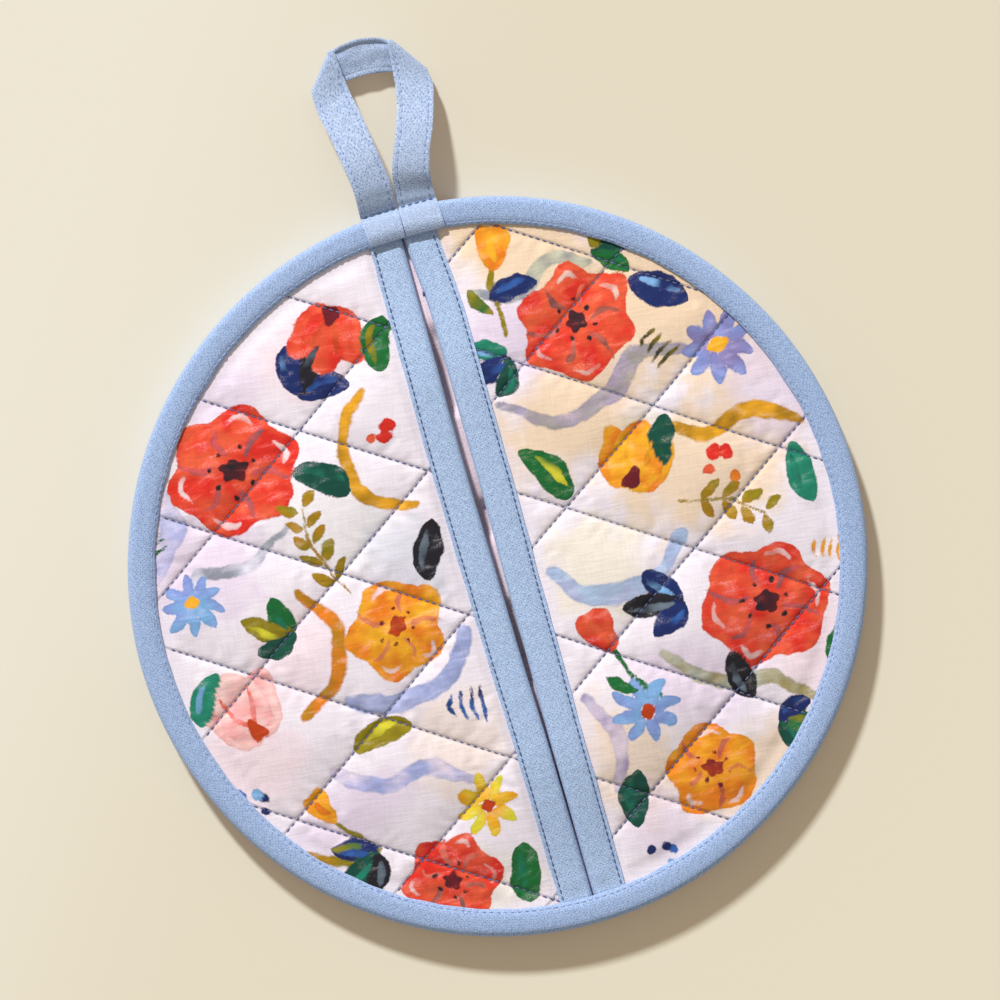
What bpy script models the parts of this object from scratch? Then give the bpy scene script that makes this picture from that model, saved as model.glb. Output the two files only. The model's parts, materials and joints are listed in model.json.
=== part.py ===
"""Round quilted pot holder with two hand pockets and a hanging ribbon, lying on a table.

Metres, +Z up. The origin is the centre of the disc on the table top. +Y points to the hanging loop
and +X to the right of it, seen from above. A full round back panel carries two half moon pocket
panels. Each panel is a quilt of outer cloth, wadding and lining cloth. A bias tape is folded over
each pocket's straight edge, and another one round the whole rim, over all the layers.
"""

import math

import bmesh
import bpy
from mathutils import Vector
from mathutils.geometry import delaunay_2d_cdt

# Rim tape: its outer radius, its width seen from above, its wall and the depth of its round edge
RIM_RADIUS = 0.108
RIM_WIDTH = 0.0082
RIM_WALL = 0.0010
RIM_ROUND = 0.0034
RIM_LIP = 0.0005
RIM_SEGMENTS = 40
ROUND_STEPS = 4
PANEL_SEGMENTS = 30
SHELF_MARGIN = 0.0013

# Thickness of each layer, the air left between two layers that touch, and how much fuller the pockets'
# pillows are than the back's
CLOTH = 0.0004
AIR = 0.0003
BACK_RIM_WADDING = 0.0014
EDGE_WADDING = 0.0003
PILLOW_WADDING = 0.0028
SEAM_WADDING = 0.0008
POCKET_PLUMP = 0.0006

# Quilting diamonds: (width, height), a point in each panel where two seams cross, the share of a
# diamond over which a pillow rises from its seam, and how far the seams lie above the pillows' lower side
DIAMOND = (0.0649, 0.0434)
BACK_CROSSING = (0.0005, 0.0165)
LEFT_CROSSING = (-0.0117, -0.0110)
RIGHT_CROSSING = (0.0238, 0.0108)
BACK_SHOULDER = 0.15
POCKET_SHOULDER = 0.20
BACK_SEAM_RISE = 0.0008
POCKET_SEAM_RISE = 0.0009

# Pockets: how high the hand space stands open, and over what length the panels rise to it
POCKET_LIFT = 0.0043
LIFT_RUN = 0.045
SHELF_BLEND = 0.008

# Tape on each pocket's straight edge
TAPE_WIDTH = 0.0097
TAPE_WALL = 0.0004
TAPE_FOLD = 0.0010
TAPE_NOSE = 0.0008
TAPE_MARGIN = 0.0006
TAPE_STEP = 0.0020
SLIT_STATIONS = 12

# Edges of the slit from bottom to top: (share of the half length, x)
LEFT_SLIT = (
    (-1.0, -0.00015),
    (-0.55, -0.00015),
    (-0.2, -0.0007),
    (0.3, -0.0010),
    (0.7, -0.0005),
    (1.0, -0.00015),
)
RIGHT_SLIT = (
    (-1.0, 0.00020),
    (-0.55, 0.00045),
    (-0.2, 0.0009),
    (0.3, 0.0017),
    (0.7, 0.0019),
    (1.0, 0.00020),
)

# Hanging ribbon: its thickness, the space between its two layers at a fold, how far its folded end stands
# off the table and curls up, and its mesh steps
RIBBON = 0.0011
FOLD_SPACE = 0.0005
FOLD_LIFT = 0.0018
TOP_CURL = 0.0016
CURL_START = 0.037
CURL_LENGTH = 0.013
RIBBON_DIVISIONS = 2
RIBBON_STEPS = 2
FOLD_STEPS = 4

# Ribbon edges, as (x, distance past the rim) of the outer edge and of the inner edge, and its height there,
# from 0 at the folds to 1 on the rim
LEFT_LEG = (
    (-0.0095, -0.0085, 0.0010, -0.0085, 1.0),
    (-0.0097, -0.0040, 0.0010, -0.0040, 1.0),
    (-0.0099, -0.0018, 0.0010, -0.0017, 0.93),
    (-0.0100, 0.0006, 0.0010, 0.0008, 0.70),
    (-0.0098, 0.0040, 0.0011, 0.0045, 0.95),
    (-0.0097, 0.0085, 0.0011, 0.0090, 1.20),
    (-0.0106, 0.0165, 0.0000, 0.0175, 1.22),
    (-0.0120, 0.0260, -0.0014, 0.0285, 0.70),
    (-0.0133, 0.0335, -0.0030, 0.0380, 0.17),
)
RIGHT_LEG = (
    (0.0130, -0.0070, 0.00155, -0.0070, 1.0),
    (0.0129, -0.0040, 0.00155, -0.0040, 1.0),
    (0.0128, -0.0018, 0.00155, -0.0017, 0.93),
    (0.0127, 0.0006, 0.00155, 0.0008, 0.70),
    (0.0127, 0.0035, 0.0017, 0.0045, 0.94),
    (0.0131, 0.0080, 0.0026, 0.0105, 1.20),
    (0.0146, 0.0135, 0.0044, 0.0155, 1.27),
    (0.0174, 0.0200, 0.0072, 0.0222, 1.06),
    (0.0200, 0.0280, 0.0099, 0.0310, 0.52),
    (0.0210, 0.0325, 0.0112, 0.0405, 0.15),
)
TOP_RUN = (
    (-0.0060, 0.0403, -0.0008, 0.0509),
    (0.0035, 0.0408, 0.0042, 0.0511),
    (0.0125, 0.0391, 0.0092, 0.0500),
)
LEFT_FOLD = (-0.0134, 0.0386, -0.0040, 0.0501)
RIGHT_FOLD = (0.0206, 0.0357, 0.0119, 0.0482)

# Heights and radii that follow from the sizes above
BACK_RIM = BACK_RIM_WADDING + 2 * (CLOTH + AIR)
EDGE_PANEL = EDGE_WADDING + 2 * (CLOTH + AIR)
POCKET_RIM = EDGE_PANEL + 2 * (AIR + TAPE_WALL)
PILLOW = PILLOW_WADDING + 2 * (CLOTH + AIR)
SEAM = SEAM_WADDING + 2 * (CLOTH + AIR)
BACK_FLOOR = RIM_WALL + AIR
POCKET_FLOOR = BACK_FLOOR + BACK_RIM + AIR
RIM_SLOT_TOP = POCKET_FLOOR + POCKET_RIM + AIR
RIM_TOP = RIM_SLOT_TOP + RIM_WALL
PANEL_RADIUS = RIM_RADIUS - RIM_ROUND
SHELF_RADIUS = RIM_RADIUS - RIM_WIDTH - SHELF_MARGIN

# Finish of each kind of piece: colour and roughness
PRINT_COLOUR = (0.80, 0.66, 0.66)
LINING_COLOUR = (0.79, 0.63, 0.72)
WADDING_COLOUR = (0.85, 0.84, 0.80)
TAPE_COLOUR = (0.33, 0.45, 0.68)
CLOTH_ROUGHNESS = 0.9

MM = 0.001


def clear_scene():
    for item in list(bpy.data.objects):
        bpy.data.objects.remove(item, do_unlink=True)


def make_collection(name):
    collection = bpy.data.collections.new(name)
    bpy.context.scene.collection.children.link(collection)
    return collection


def make_material(name, colour):
    material = bpy.data.materials.new(name)
    material.use_nodes = True
    shader = material.node_tree.nodes["Principled BSDF"]
    shader.inputs["Base Color"].default_value = (*colour, 1.0)
    shader.inputs["Roughness"].default_value = CLOTH_ROUGHNESS
    return material


def add_object(name, bm, collection, colour):
    mesh = bpy.data.meshes.new(name)
    bm.to_mesh(mesh)
    bm.free()
    item = bpy.data.objects.new(name, mesh)
    item.data.materials.append(make_material(name, colour))
    collection.objects.link(item)
    return item


def smooth(value):
    value = min(1.0, max(0.0, value))
    return value * value * (3 - 2 * value)


def mix(first, second, share):
    return first + (second - first) * share


def along(pairs, place):
    """The value at a place between the listed (place, value) pairs, with smooth steps."""
    for (start, low), (end, high) in zip(pairs, pairs[1:]):
        if place <= end:
            return mix(low, high, smooth((place - start) / (end - start)))
    return pairs[-1][1]


def quilt(x, y, crossing, shoulder):
    """0 on a quilting seam, and 1 on the pillow between the seams."""
    across = (x - crossing[0]) / DIAMOND[0]
    up = (y - crossing[1]) / DIAMOND[1]
    rise = 1.0
    for coordinate in (up + across, up - across):
        share = coordinate - math.floor(coordinate)
        rise *= min(1.0, min(share, 1 - share) / shoulder)
    return rise


def back_form(x, y):
    """Lower side and thickness of the back panel."""
    pillow = quilt(x, y, BACK_CROSSING, BACK_SHOULDER)
    shelf = smooth(1 - (SHELF_RADIUS - math.hypot(x, y)) / SHELF_BLEND)
    low = mix(mix(BACK_SEAM_RISE, 0.0, pillow), BACK_FLOOR, shelf)
    thick = mix(mix(SEAM, PILLOW, pillow), BACK_RIM, shelf)
    return low, thick


def pocket_lift(radius):
    return POCKET_LIFT * smooth((SHELF_RADIUS - radius) / LIFT_RUN)


def slit_stations():
    """Shares of the half length at which the slit's tapes have their sections."""
    shelf = SHELF_RADIUS / PANEL_RADIUS
    inner = [mix(-shelf, shelf, step / SLIT_STATIONS) for step in range(SLIT_STATIONS + 1)]
    return [-1.0, *inner, 1.0]


def tape_lift(share):
    """Lift along a pocket's straight edge, in straight steps from station to station."""
    stations = slit_stations()
    share = min(1.0, max(-1.0, share))
    for start, end in zip(stations, stations[1:]):
        if share <= end:
            low = pocket_lift(abs(start) * PANEL_RADIUS)
            high = pocket_lift(abs(end) * PANEL_RADIUS)
            return mix(low, high, (share - start) / (end - start))
    return 0.0


class Pocket:
    """The sizes of one pocket panel. side is -1 for the left pocket and 1 for the right one."""

    def __init__(self, side, slit, crossing):
        self.side = side
        self.slit = slit
        self.crossing = crossing

    def edge_point(self, share, inset):
        """A point at this distance in from the slit's edge, at this share of the half length."""
        x = along(self.slit, share) + self.side * inset
        return x, share * math.sqrt(PANEL_RADIUS**2 - x * x)

    def place(self, x, y):
        """The share of the half length and the distance from the slit's edge of a point."""
        share = y / math.sqrt(PANEL_RADIUS**2 - x * x) if abs(x) < PANEL_RADIUS else 0.0
        share = min(1.0, max(-1.0, share))
        return share, self.side * (x - along(self.slit, share))

    def form(self, x, y):
        """Lower side and thickness of the panel."""
        share, inset = self.place(x, y)
        tape = min(1.0, max(0.0, (TAPE_WIDTH + TAPE_MARGIN + TAPE_STEP - inset) / TAPE_STEP))
        pillow = quilt(x, y, self.crossing, POCKET_SHOULDER)
        radius = math.hypot(x, y)
        shelf = smooth(1 - (SHELF_RADIUS - radius) / SHELF_BLEND)
        low = mix(POCKET_SEAM_RISE * (1 - pillow), 0.0, shelf) + pocket_lift(radius)
        thick = mix(mix(SEAM, PILLOW + POCKET_PLUMP, pillow), POCKET_RIM, shelf)
        low = mix(low, TAPE_WALL + AIR + tape_lift(share), tape)
        thick = mix(thick, EDGE_PANEL, tape)
        return POCKET_FLOOR + low, thick


def circle_points(radius, start, end, steps):
    angles = [mix(start, end, step / steps) for step in range(steps + 1)]
    return [(radius * math.cos(angle), radius * math.sin(angle)) for angle in angles]


def spans(loop, normal, offset):
    """The stretches of the line normal . p = offset that lie inside a closed loop."""
    direction = Vector((-normal.y, normal.x)).normalized()
    origin = normal * (offset / normal.length_squared)
    crossings = []
    for start, end in zip(loop, loop[1:] + loop[:1]):
        first = normal.dot(Vector(start)) - offset
        second = normal.dot(Vector(end)) - offset
        if (first < 0) != (second < 0):
            crossing = Vector(start).lerp(Vector(end), first / (first - second))
            crossings.append(direction.dot(crossing - origin))
    crossings.sort()
    return [
        [tuple(origin + direction * start), tuple(origin + direction * end)]
        for start, end in zip(crossings[::2], crossings[1::2])
    ]


def quilt_lines(loop, crossing, shoulder):
    """The seams inside a loop, and the lines on both sides of them where the pillows reach their height."""
    lines = []
    reach = math.ceil(PANEL_RADIUS * (1 / DIAMOND[0] + 1 / DIAMOND[1])) + 1
    for sign in (1, -1):
        normal = Vector((sign / DIAMOND[0], 1 / DIAMOND[1]))
        middle = normal.dot(Vector(crossing))
        for row in range(-reach, reach):
            for share in (0.0, shoulder, 1 - shoulder):
                lines += spans(loop, normal, middle + row + share)
    return lines


def plan_mesh(outline, chains):
    """Triangles that fill the outline and follow the chains of points inside it."""
    points = []
    edges = []
    for chain, closed in [(outline, True)] + [(chain, False) for chain in chains]:
        first = len(points)
        points += [Vector(point) / MM for point in chain]
        edges += [(first + step, first + step + 1) for step in range(len(chain) - 1)]
        if closed:
            edges.append((len(points) - 1, first))
    found = delaunay_2d_cdt(points, edges, [list(range(len(outline)))], 1, 1e-3)
    return [point * MM for point in found[0]], found[2]


def sheet(name, plan, layer, collection, colour):
    """A closed sheet over a plan. layer gives the height of its lower and its upper side."""
    points, triangles = plan
    bm = bmesh.new()
    corners = [bm.verts.new((point.x, point.y, 0.0)) for point in points]
    for triangle in triangles:
        bm.faces.new([corners[index] for index in triangle])
    bmesh.ops.delete(bm, geom=[v for v in bm.verts if not v.link_faces], context="VERTS")
    grown = bmesh.ops.extrude_face_region(bm, geom=bm.faces[:])["geom"]
    upper = {item for item in grown if isinstance(item, bmesh.types.BMVert)}
    for corner in bm.verts:
        low, high = layer(corner.co.x, corner.co.y)
        corner.co.z = high if corner in upper else low
    bmesh.ops.recalc_face_normals(bm, faces=bm.faces[:])
    return add_object(name, bm, collection, colour)


def three_layers(names, plan, form, colours, collection):
    """The bottom cloth, the wadding and the top cloth of one quilted panel."""
    skin = CLOTH + AIR

    def bottom(x, y):
        low, _ = form(x, y)
        return low, low + CLOTH

    def middle(x, y):
        low, thick = form(x, y)
        return low + skin, low + thick - skin

    def top(x, y):
        low, thick = form(x, y)
        return low + thick - CLOTH, low + thick

    for name, layer, colour in zip(names, (bottom, middle, top), colours):
        sheet(name, plan, layer, collection, colour)


def build_back(collection):
    outline = circle_points(PANEL_RADIUS, 0, 2 * math.pi, PANEL_SEGMENTS)[:-1]
    shelf = circle_points(SHELF_RADIUS, 0, 2 * math.pi, PANEL_SEGMENTS)
    lines = quilt_lines(shelf[:-1], BACK_CROSSING, BACK_SHOULDER)
    plan = plan_mesh(outline, [shelf, *lines])
    three_layers(
        ("back_outer_cloth", "back_wadding", "back_lining_cloth"),
        plan,
        back_form,
        (PRINT_COLOUR, WADDING_COLOUR, LINING_COLOUR),
        collection,
    )


def pocket_plan(pocket):
    """The half moon's triangles, with lines along its tape, its rim and its quilting seams."""
    stations = slit_stations()
    near = TAPE_WIDTH + TAPE_MARGIN
    edge = [pocket.edge_point(share, TAPE_FOLD) for share in stations]
    tape = [pocket.edge_point(share, near) for share in stations]
    step = [pocket.edge_point(share, near + TAPE_STEP) for share in stations]

    def turn(point):
        """Angle of a point from the slit's bottom end, round the pocket's own side."""
        return math.atan2(pocket.side * point[0], -point[1])

    steps = PANEL_SEGMENTS // 2
    arc = circle_points(PANEL_RADIUS, turn(step[-1]), turn(step[0]), steps)
    arc = [(pocket.side * y, -x) for x, y in arc]
    outline = [*edge, tape[-1], *arc, tape[0]]
    shelf_ends = [pocket.edge_point(SHELF_RADIUS / PANEL_RADIUS * end, near) for end in (1, -1)]
    shelf = circle_points(SHELF_RADIUS, turn(shelf_ends[0]), turn(shelf_ends[1]), steps)
    shelf = [(pocket.side * y, -x) for x, y in shelf]
    core = [*tape[1:-1], *shelf[1:-1]]
    lines = quilt_lines(core, pocket.crossing, POCKET_SHOULDER)
    return plan_mesh(outline, [tape, step, [tape[-2], *shelf[1:-1], tape[1]], *lines])


def build_pocket(pocket, word, collection):
    plan = pocket_plan(pocket)
    three_layers(
        (f"{word}_lining_cloth", f"{word}_wadding", f"{word}_face_cloth"),
        plan,
        pocket.form,
        (LINING_COLOUR, WADDING_COLOUR, PRINT_COLOUR),
        collection,
    )


def skin_sections(sections, closed_section):
    """A mesh through a row of sections with the same number of points, closed at its ends."""
    bm = bmesh.new()
    rows = [[bm.verts.new(point) for point in section] for section in sections]
    count = len(rows[0])
    last = count if closed_section else count - 1
    for row, after in zip(rows, rows[1:]):
        for index in range(last):
            other = (index + 1) % count
            bm.faces.new((row[index], row[other], after[other], after[index]))
    if closed_section:
        bm.faces.new(rows[0])
        bm.faces.new(rows[-1])
    bmesh.ops.recalc_face_normals(bm, faces=bm.faces[:])
    return bm


def build_opening_tape(pocket, word, collection):
    """A tape folded over the pocket's straight edge, open towards the quilt."""
    wall = TAPE_WALL
    top = POCKET_RIM
    corner = POCKET_RIM / 3
    # Distance in from the slit's edge, and height over the tape's lower side
    section = (
        (TAPE_WIDTH, 0.0),
        (TAPE_NOSE, 0.0),
        (0.0, corner),
        (0.0, top - corner),
        (TAPE_NOSE, top),
        (TAPE_WIDTH, top),
        (TAPE_WIDTH, top - wall),
        (TAPE_FOLD - AIR, top - wall),
        (TAPE_FOLD - AIR, wall),
        (TAPE_WIDTH, wall),
    )
    sections = []
    for share in slit_stations():
        base = POCKET_FLOOR + tape_lift(share)
        row = [(*pocket.edge_point(share, inset), base + height) for inset, height in section]
        sections.append(row)
    bm = skin_sections(sections, closed_section=True)
    add_object(f"{word}_opening_binding", bm, collection, TAPE_COLOUR)


def build_rim(collection):
    """The rim tape's section, turned round the disc's axis."""
    middle = RIM_TOP / 2
    centre = RIM_RADIUS - RIM_ROUND
    inner = RIM_RADIUS - RIM_WIDTH
    turns = [math.pi / 2 - math.pi * step / ROUND_STEPS for step in range(ROUND_STEPS + 1)]
    outside = [(centre + RIM_ROUND * math.cos(a), middle + middle * math.sin(a)) for a in turns]
    depth = RIM_ROUND - RIM_WALL
    half = middle - RIM_WALL
    slot = [(centre + depth * math.cos(a), middle + half * math.sin(a)) for a in reversed(turns)]
    section = [
        (inner + RIM_LIP, RIM_TOP),
        *outside,
        (inner + RIM_LIP, 0.0),
        (inner, RIM_LIP),
        (inner, RIM_WALL),
        *slot,
        (inner, RIM_SLOT_TOP),
        (inner, RIM_TOP - RIM_LIP),
    ]
    bm = bmesh.new()
    ring = [bm.verts.new((radius, 0.0, height)) for radius, height in section]
    for start, end in zip(ring, ring[1:] + ring[:1]):
        bm.edges.new((start, end))
    rim = add_object("rim_binding", bm, collection, TAPE_COLOUR)
    screw = rim.modifiers.new("turn", "SCREW")
    screw.axis = "Z"
    screw.angle = 2 * math.pi
    screw.steps = RIM_SEGMENTS
    screw.render_steps = RIM_SEGMENTS
    screw.use_merge_vertices = True
    screw.merge_threshold = 0.00001
    screw.use_smooth_shade = True


def curve_between(before, start, end, after, share):
    """A point on the smooth curve through four rows of numbers, between the middle two."""
    values = []
    for a, b, c, d in zip(before, start, end, after):
        slope = (c - a) / 2
        next_slope = (d - b) / 2
        bend = 3 * (c - b) - 2 * slope - next_slope
        twist = 2 * (b - c) + slope + next_slope
        values.append(b + share * (slope + share * (bend + share * twist)))
    return values


def smooth_rows(keys, steps):
    """Rows of numbers on a smooth curve through the keys."""
    rows = [list(keys[0])]
    for index in range(len(keys) - 1):
        before = keys[max(0, index - 1)]
        after = keys[min(len(keys) - 1, index + 2)]
        for step in range(1, steps + 1):
            rows.append(curve_between(before, keys[index], keys[index + 1], after, step / steps))
    return rows


def fold_rows(axis, low, outward):
    """Rows round a soft fold, from its upper layer to its lower layer."""
    radius = (RIBBON + FOLD_SPACE) / 2
    rows = []
    for step in range(1, FOLD_STEPS):
        angle = math.pi * step / FOLD_STEPS
        out = radius * math.sin(angle)
        x1, y1, x2, y2 = axis
        height = low + radius + radius * math.cos(angle)
        push = outward * out
        rows.append([x1 + push.x, y1 + push.y, x2 + push.x, y2 + push.y, height])
    return rows


def curl(past_rim):
    """How far the loop's top end lifts at this distance past the rim."""
    return TOP_CURL * smooth((past_rim - CURL_START) / CURL_LENGTH)


def build_ribbon(collection):
    """One flat ribbon, lapped on the rim at both ends and folded over at its two upper corners."""
    low = FOLD_LIFT + RIBBON / 2
    high = low + RIBBON + FOLD_SPACE
    lap = RIM_TOP + AIR + RIBBON / 2

    def with_height(row):
        return (*row[:4], mix(high, lap, row[4]))

    left_axis = (*LEFT_FOLD, high)
    right_axis = (*RIGHT_FOLD, high)
    left = smooth_rows([*map(with_height, LEFT_LEG), left_axis], RIBBON_STEPS)
    right = smooth_rows([*map(with_height, RIGHT_LEG), right_axis], RIBBON_STEPS)
    run = smooth_rows([(*row, low) for row in (LEFT_FOLD, *TOP_RUN, RIGHT_FOLD)], RIBBON_STEPS)

    def outward(axis, side):
        along_fold = Vector((axis[2] - axis[0], axis[3] - axis[1])).normalized()
        return Vector((side * along_fold.y, -side * along_fold.x))

    left_turn = fold_rows(LEFT_FOLD, low, outward(LEFT_FOLD, -1))
    right_turn = fold_rows(RIGHT_FOLD, low, outward(RIGHT_FOLD, 1))
    rows = [*left, *left_turn, *run, *reversed(right_turn), *reversed(right)]
    sections = []
    for x1, y1, x2, y2, height in rows:
        outer = Vector((x1, RIM_RADIUS + y1, height + curl(y1)))
        inner = Vector((x2, RIM_RADIUS + y2, height + curl(y2)))
        shares = [step / RIBBON_DIVISIONS for step in range(RIBBON_DIVISIONS + 1)]
        sections.append([outer.lerp(inner, share) for share in shares])
    bm = skin_sections(sections, closed_section=False)
    ribbon = add_object("hanging_loop", bm, collection, TAPE_COLOUR)
    wall = ribbon.modifiers.new("thickness", "SOLIDIFY")
    wall.thickness = RIBBON
    wall.offset = 0.0
    wall.use_even_offset = True


def main():
    clear_scene()
    collection = make_collection("pot_holder")
    left = Pocket(-1, LEFT_SLIT, LEFT_CROSSING)
    right = Pocket(1, RIGHT_SLIT, RIGHT_CROSSING)
    build_back(collection)
    build_pocket(left, "left", collection)
    build_pocket(right, "right", collection)
    build_opening_tape(left, "left", collection)
    build_opening_tape(right, "right", collection)
    build_rim(collection)
    build_ribbon(collection)


main()
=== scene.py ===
"""Looks of a round quilted pot holder: printed quilt, blue tapes, pink lining, thread and ribbon loop.

Metres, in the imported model's frame: +Z up, the disc's centre on the table top at the origin, and +Y
towards the hanging loop. The print is an own design of blossoms, leaves, sprigs and brush strokes.
"""

import json
import math

import bmesh
import bpy
import numpy as np
from mathutils import Matrix, Vector, noise

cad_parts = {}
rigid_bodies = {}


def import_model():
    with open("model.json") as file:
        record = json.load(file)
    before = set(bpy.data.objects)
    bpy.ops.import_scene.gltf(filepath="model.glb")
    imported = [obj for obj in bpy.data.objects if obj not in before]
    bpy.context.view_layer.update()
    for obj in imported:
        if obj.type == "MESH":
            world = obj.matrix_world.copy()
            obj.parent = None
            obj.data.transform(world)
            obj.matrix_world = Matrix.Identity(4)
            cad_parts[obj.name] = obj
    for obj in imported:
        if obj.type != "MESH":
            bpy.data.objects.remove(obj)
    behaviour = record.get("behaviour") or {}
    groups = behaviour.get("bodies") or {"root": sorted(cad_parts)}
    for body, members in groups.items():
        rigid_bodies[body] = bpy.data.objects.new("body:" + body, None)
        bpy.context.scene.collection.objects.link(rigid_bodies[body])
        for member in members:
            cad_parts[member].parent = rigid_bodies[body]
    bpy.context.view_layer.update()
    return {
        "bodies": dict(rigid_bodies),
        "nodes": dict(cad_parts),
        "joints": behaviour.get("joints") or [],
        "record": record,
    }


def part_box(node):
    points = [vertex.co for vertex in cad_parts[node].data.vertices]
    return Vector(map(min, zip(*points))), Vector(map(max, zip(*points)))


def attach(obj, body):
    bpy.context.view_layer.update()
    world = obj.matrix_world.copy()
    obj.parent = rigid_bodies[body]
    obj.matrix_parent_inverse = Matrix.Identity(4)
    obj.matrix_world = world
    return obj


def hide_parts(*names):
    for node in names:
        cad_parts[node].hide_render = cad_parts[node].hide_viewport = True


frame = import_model()

MM = 0.001

# The rim tape's reach and top, from the frame, its width seen from above, how far its outer side rounds and
# the exponent of that round, which is full at 1 and squarer below it
RIM_LOW, RIM_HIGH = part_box("rim_binding")
RIM_RADIUS = RIM_HIGH.x
RIM_TOP = RIM_HIGH.z
RIM_WIDTH = 0.0082
RIM_ROUND = 0.0034
RIM_SQUARE = 0.54

# Layers of the quilts
CLOTH = 0.0004
AIR = 0.0003
SKIN = CLOTH + AIR
BACK_RIM = 0.0028
EDGE_PANEL = 0.0017
POCKET_RIM = 0.0031
BACK_PILLOW = 0.0042
POCKET_PILLOW = 0.0048
PILLOW_RISE = 0.0014
SEAM = 0.0022
BACK_FLOOR = 0.0013
POCKET_FLOOR = 0.0044
PANEL_RADIUS = RIM_RADIUS - RIM_ROUND
SHELF_RADIUS = RIM_RADIUS - RIM_WIDTH - 0.0013
SHELF_BLEND = 0.0045
WADDING_GAP = 1.6 * SKIN
TAPE_CLOTH = 0.00045

# Quilting diamonds: their width and height, and one crossing of the seams in each panel
DIAMOND = (0.0649, 0.0434)
BACK_CROSSING = (0.0005, 0.0165)
LEFT_CROSSING = (-0.0117, -0.0110)
RIGHT_CROSSING = (0.0238, 0.0108)
BACK_SEAM_RISE = 0.0008
POCKET_SEAM_RISE = 0.0009
SEAM_WANDER = 0.0005
SEAM_REACH = 0.0105
POCKET_LIFT = 0.0043
LIFT_RUN = 0.045

# Gathers beside each seam, and the dip that the seam and its stitches press into the cloth
PUCKER_REACH = 0.0016
PUCKER_RISE = 0.00016
SEAM_DIP = 0.00034
STITCH_DIP = 0.00012
DIP_REACH = 0.0006

# Broad soft folds of the printed cloth
FOLD_RISE = 0.00016

# Tape on each pocket's straight edge
TAPE_WIDTH = 0.0097
TAPE_RISE = 0.0030
TAPE_FOLD = 0.0010

# Topstitching: its distance from the slit tapes' outer edge and from the rim tape's inner edge
TAPE_TOPSTITCH = 0.0011
RIM_TOPSTITCH = 0.0009

# Edges of the slit as (share of the half length, x)
LEFT_SLIT = (
    (-1.0, -0.00015),
    (-0.55, -0.00015),
    (-0.2, -0.0007),
    (0.3, -0.0010),
    (0.7, -0.0005),
    (1.0, -0.00015),
)
RIGHT_SLIT = (
    (-1.0, 0.00020),
    (-0.55, 0.00045),
    (-0.2, 0.0009),
    (0.3, 0.0017),
    (0.7, 0.0019),
    (1.0, 0.00020),
)

# Hanging ribbon: the room that a layer takes and its cloth, the space between its layers at a fold, and how
# far its folded end stands off the table and curls up. Its rows are (x, distance past the rim) of the outer
# and the inner edge, and on the legs its height too, from 0 at the folds to 1 on the rim
RIBBON = 0.0011
RIBBON_CLOTH = 0.85 * RIBBON
FOLD_SPACE = 0.0005
FOLD_LIFT = 0.0018
TOP_CURL = 0.0016
CURL_START = 0.037
CURL_LENGTH = 0.013
RIBBON_WIDTH = 0.0105
LEFT_LEG = (
    (-0.0095, -0.0085, 0.0010, -0.0083, 1.0),
    (-0.0097, -0.0040, 0.0010, -0.0040, 1.0),
    (-0.0099, -0.0018, 0.0010, -0.0017, 0.93),
    (-0.0100, 0.0006, 0.0010, 0.0008, 0.70),
    (-0.0098, 0.0040, 0.0011, 0.0045, 0.95),
    (-0.0097, 0.0085, 0.0011, 0.0090, 1.20),
    (-0.0106, 0.0165, 0.0000, 0.0175, 1.22),
    (-0.0120, 0.0260, -0.0014, 0.0285, 0.70),
    (-0.0133, 0.0335, -0.0030, 0.0380, 0.17),
)
RIGHT_LEG = (
    (0.0130, -0.0086, 0.00155, -0.0083, 1.0),
    (0.0129, -0.0040, 0.00155, -0.0040, 1.0),
    (0.0128, -0.0018, 0.00155, -0.0017, 0.93),
    (0.0127, 0.0006, 0.00155, 0.0008, 0.70),
    (0.0127, 0.0035, 0.0017, 0.0045, 0.80),
    (0.0131, 0.0080, 0.0026, 0.0105, 1.24),
    (0.0146, 0.0135, 0.0044, 0.0155, 1.27),
    (0.0174, 0.0200, 0.0072, 0.0222, 1.06),
    (0.0200, 0.0280, 0.0099, 0.0310, 0.52),
    (0.0210, 0.0325, 0.0112, 0.0405, 0.15),
)
TOP_RUN = (
    (-0.0060, 0.0403, -0.0008, 0.0509),
    (0.0035, 0.0408, 0.0042, 0.0511),
    (0.0125, 0.0391, 0.0092, 0.0500),
)
LEFT_FOLD = (-0.0134, 0.0386, -0.0040, 0.0501)
RIGHT_FOLD = (0.0206, 0.0357, 0.0119, 0.0482)

# Cloth simulation of the pockets' printed cloth between its seams: cells along a diamond's side, rows of
# diamonds each way, how many times the real size it runs at, its frames, pressure and growth, the share of
# its swelling that the wadding fills, and the most that the cloth may rise
SIM_CELLS = 22
SIM_ROWS = 5
SIM_SCALE = 20.0
SIM_FRAMES = 24
SIM_PRESSURE = 4.0
SIM_GROWTH = 0.024
SIM_SHARE = 0.47
MOST_SWELL = 0.0020

# Mesh steps, columns and rows of the tapes, and the angle up to which a piece is shaded smooth
FACE_CELL = 0.0007
BACK_CELL = 0.0012
LINING_CELL = 0.0016
WADDING_CELL = 0.0022
TAPE_COLUMNS = 44
SLIT_ROWS = 300
RIM_ROWS = 1080
RIBBON_COLUMNS = 40
SMOOTH_ANGLE = math.radians(50)

# Thread
STITCH_PITCH = 0.0021
STITCH_LENGTH = 0.0015
THREAD = 0.00042
THREAD_RISE = 0.2 * THREAD

# Steps for slopes and directions on a surface, and for walking along a seam
SLOPE_STEP = 0.0002
WAY_STEP = 0.0004
SEAM_STEP = 0.0010
SEAM_STEPS = 240
SEAM_COUNT = 6


def clamp(value):
    return min(1.0, max(0.0, value))


def smooth(value):
    value = clamp(value)
    return value * value * (3 - 2 * value)


def mix(first, second, share):
    return first + (second - first) * share


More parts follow.
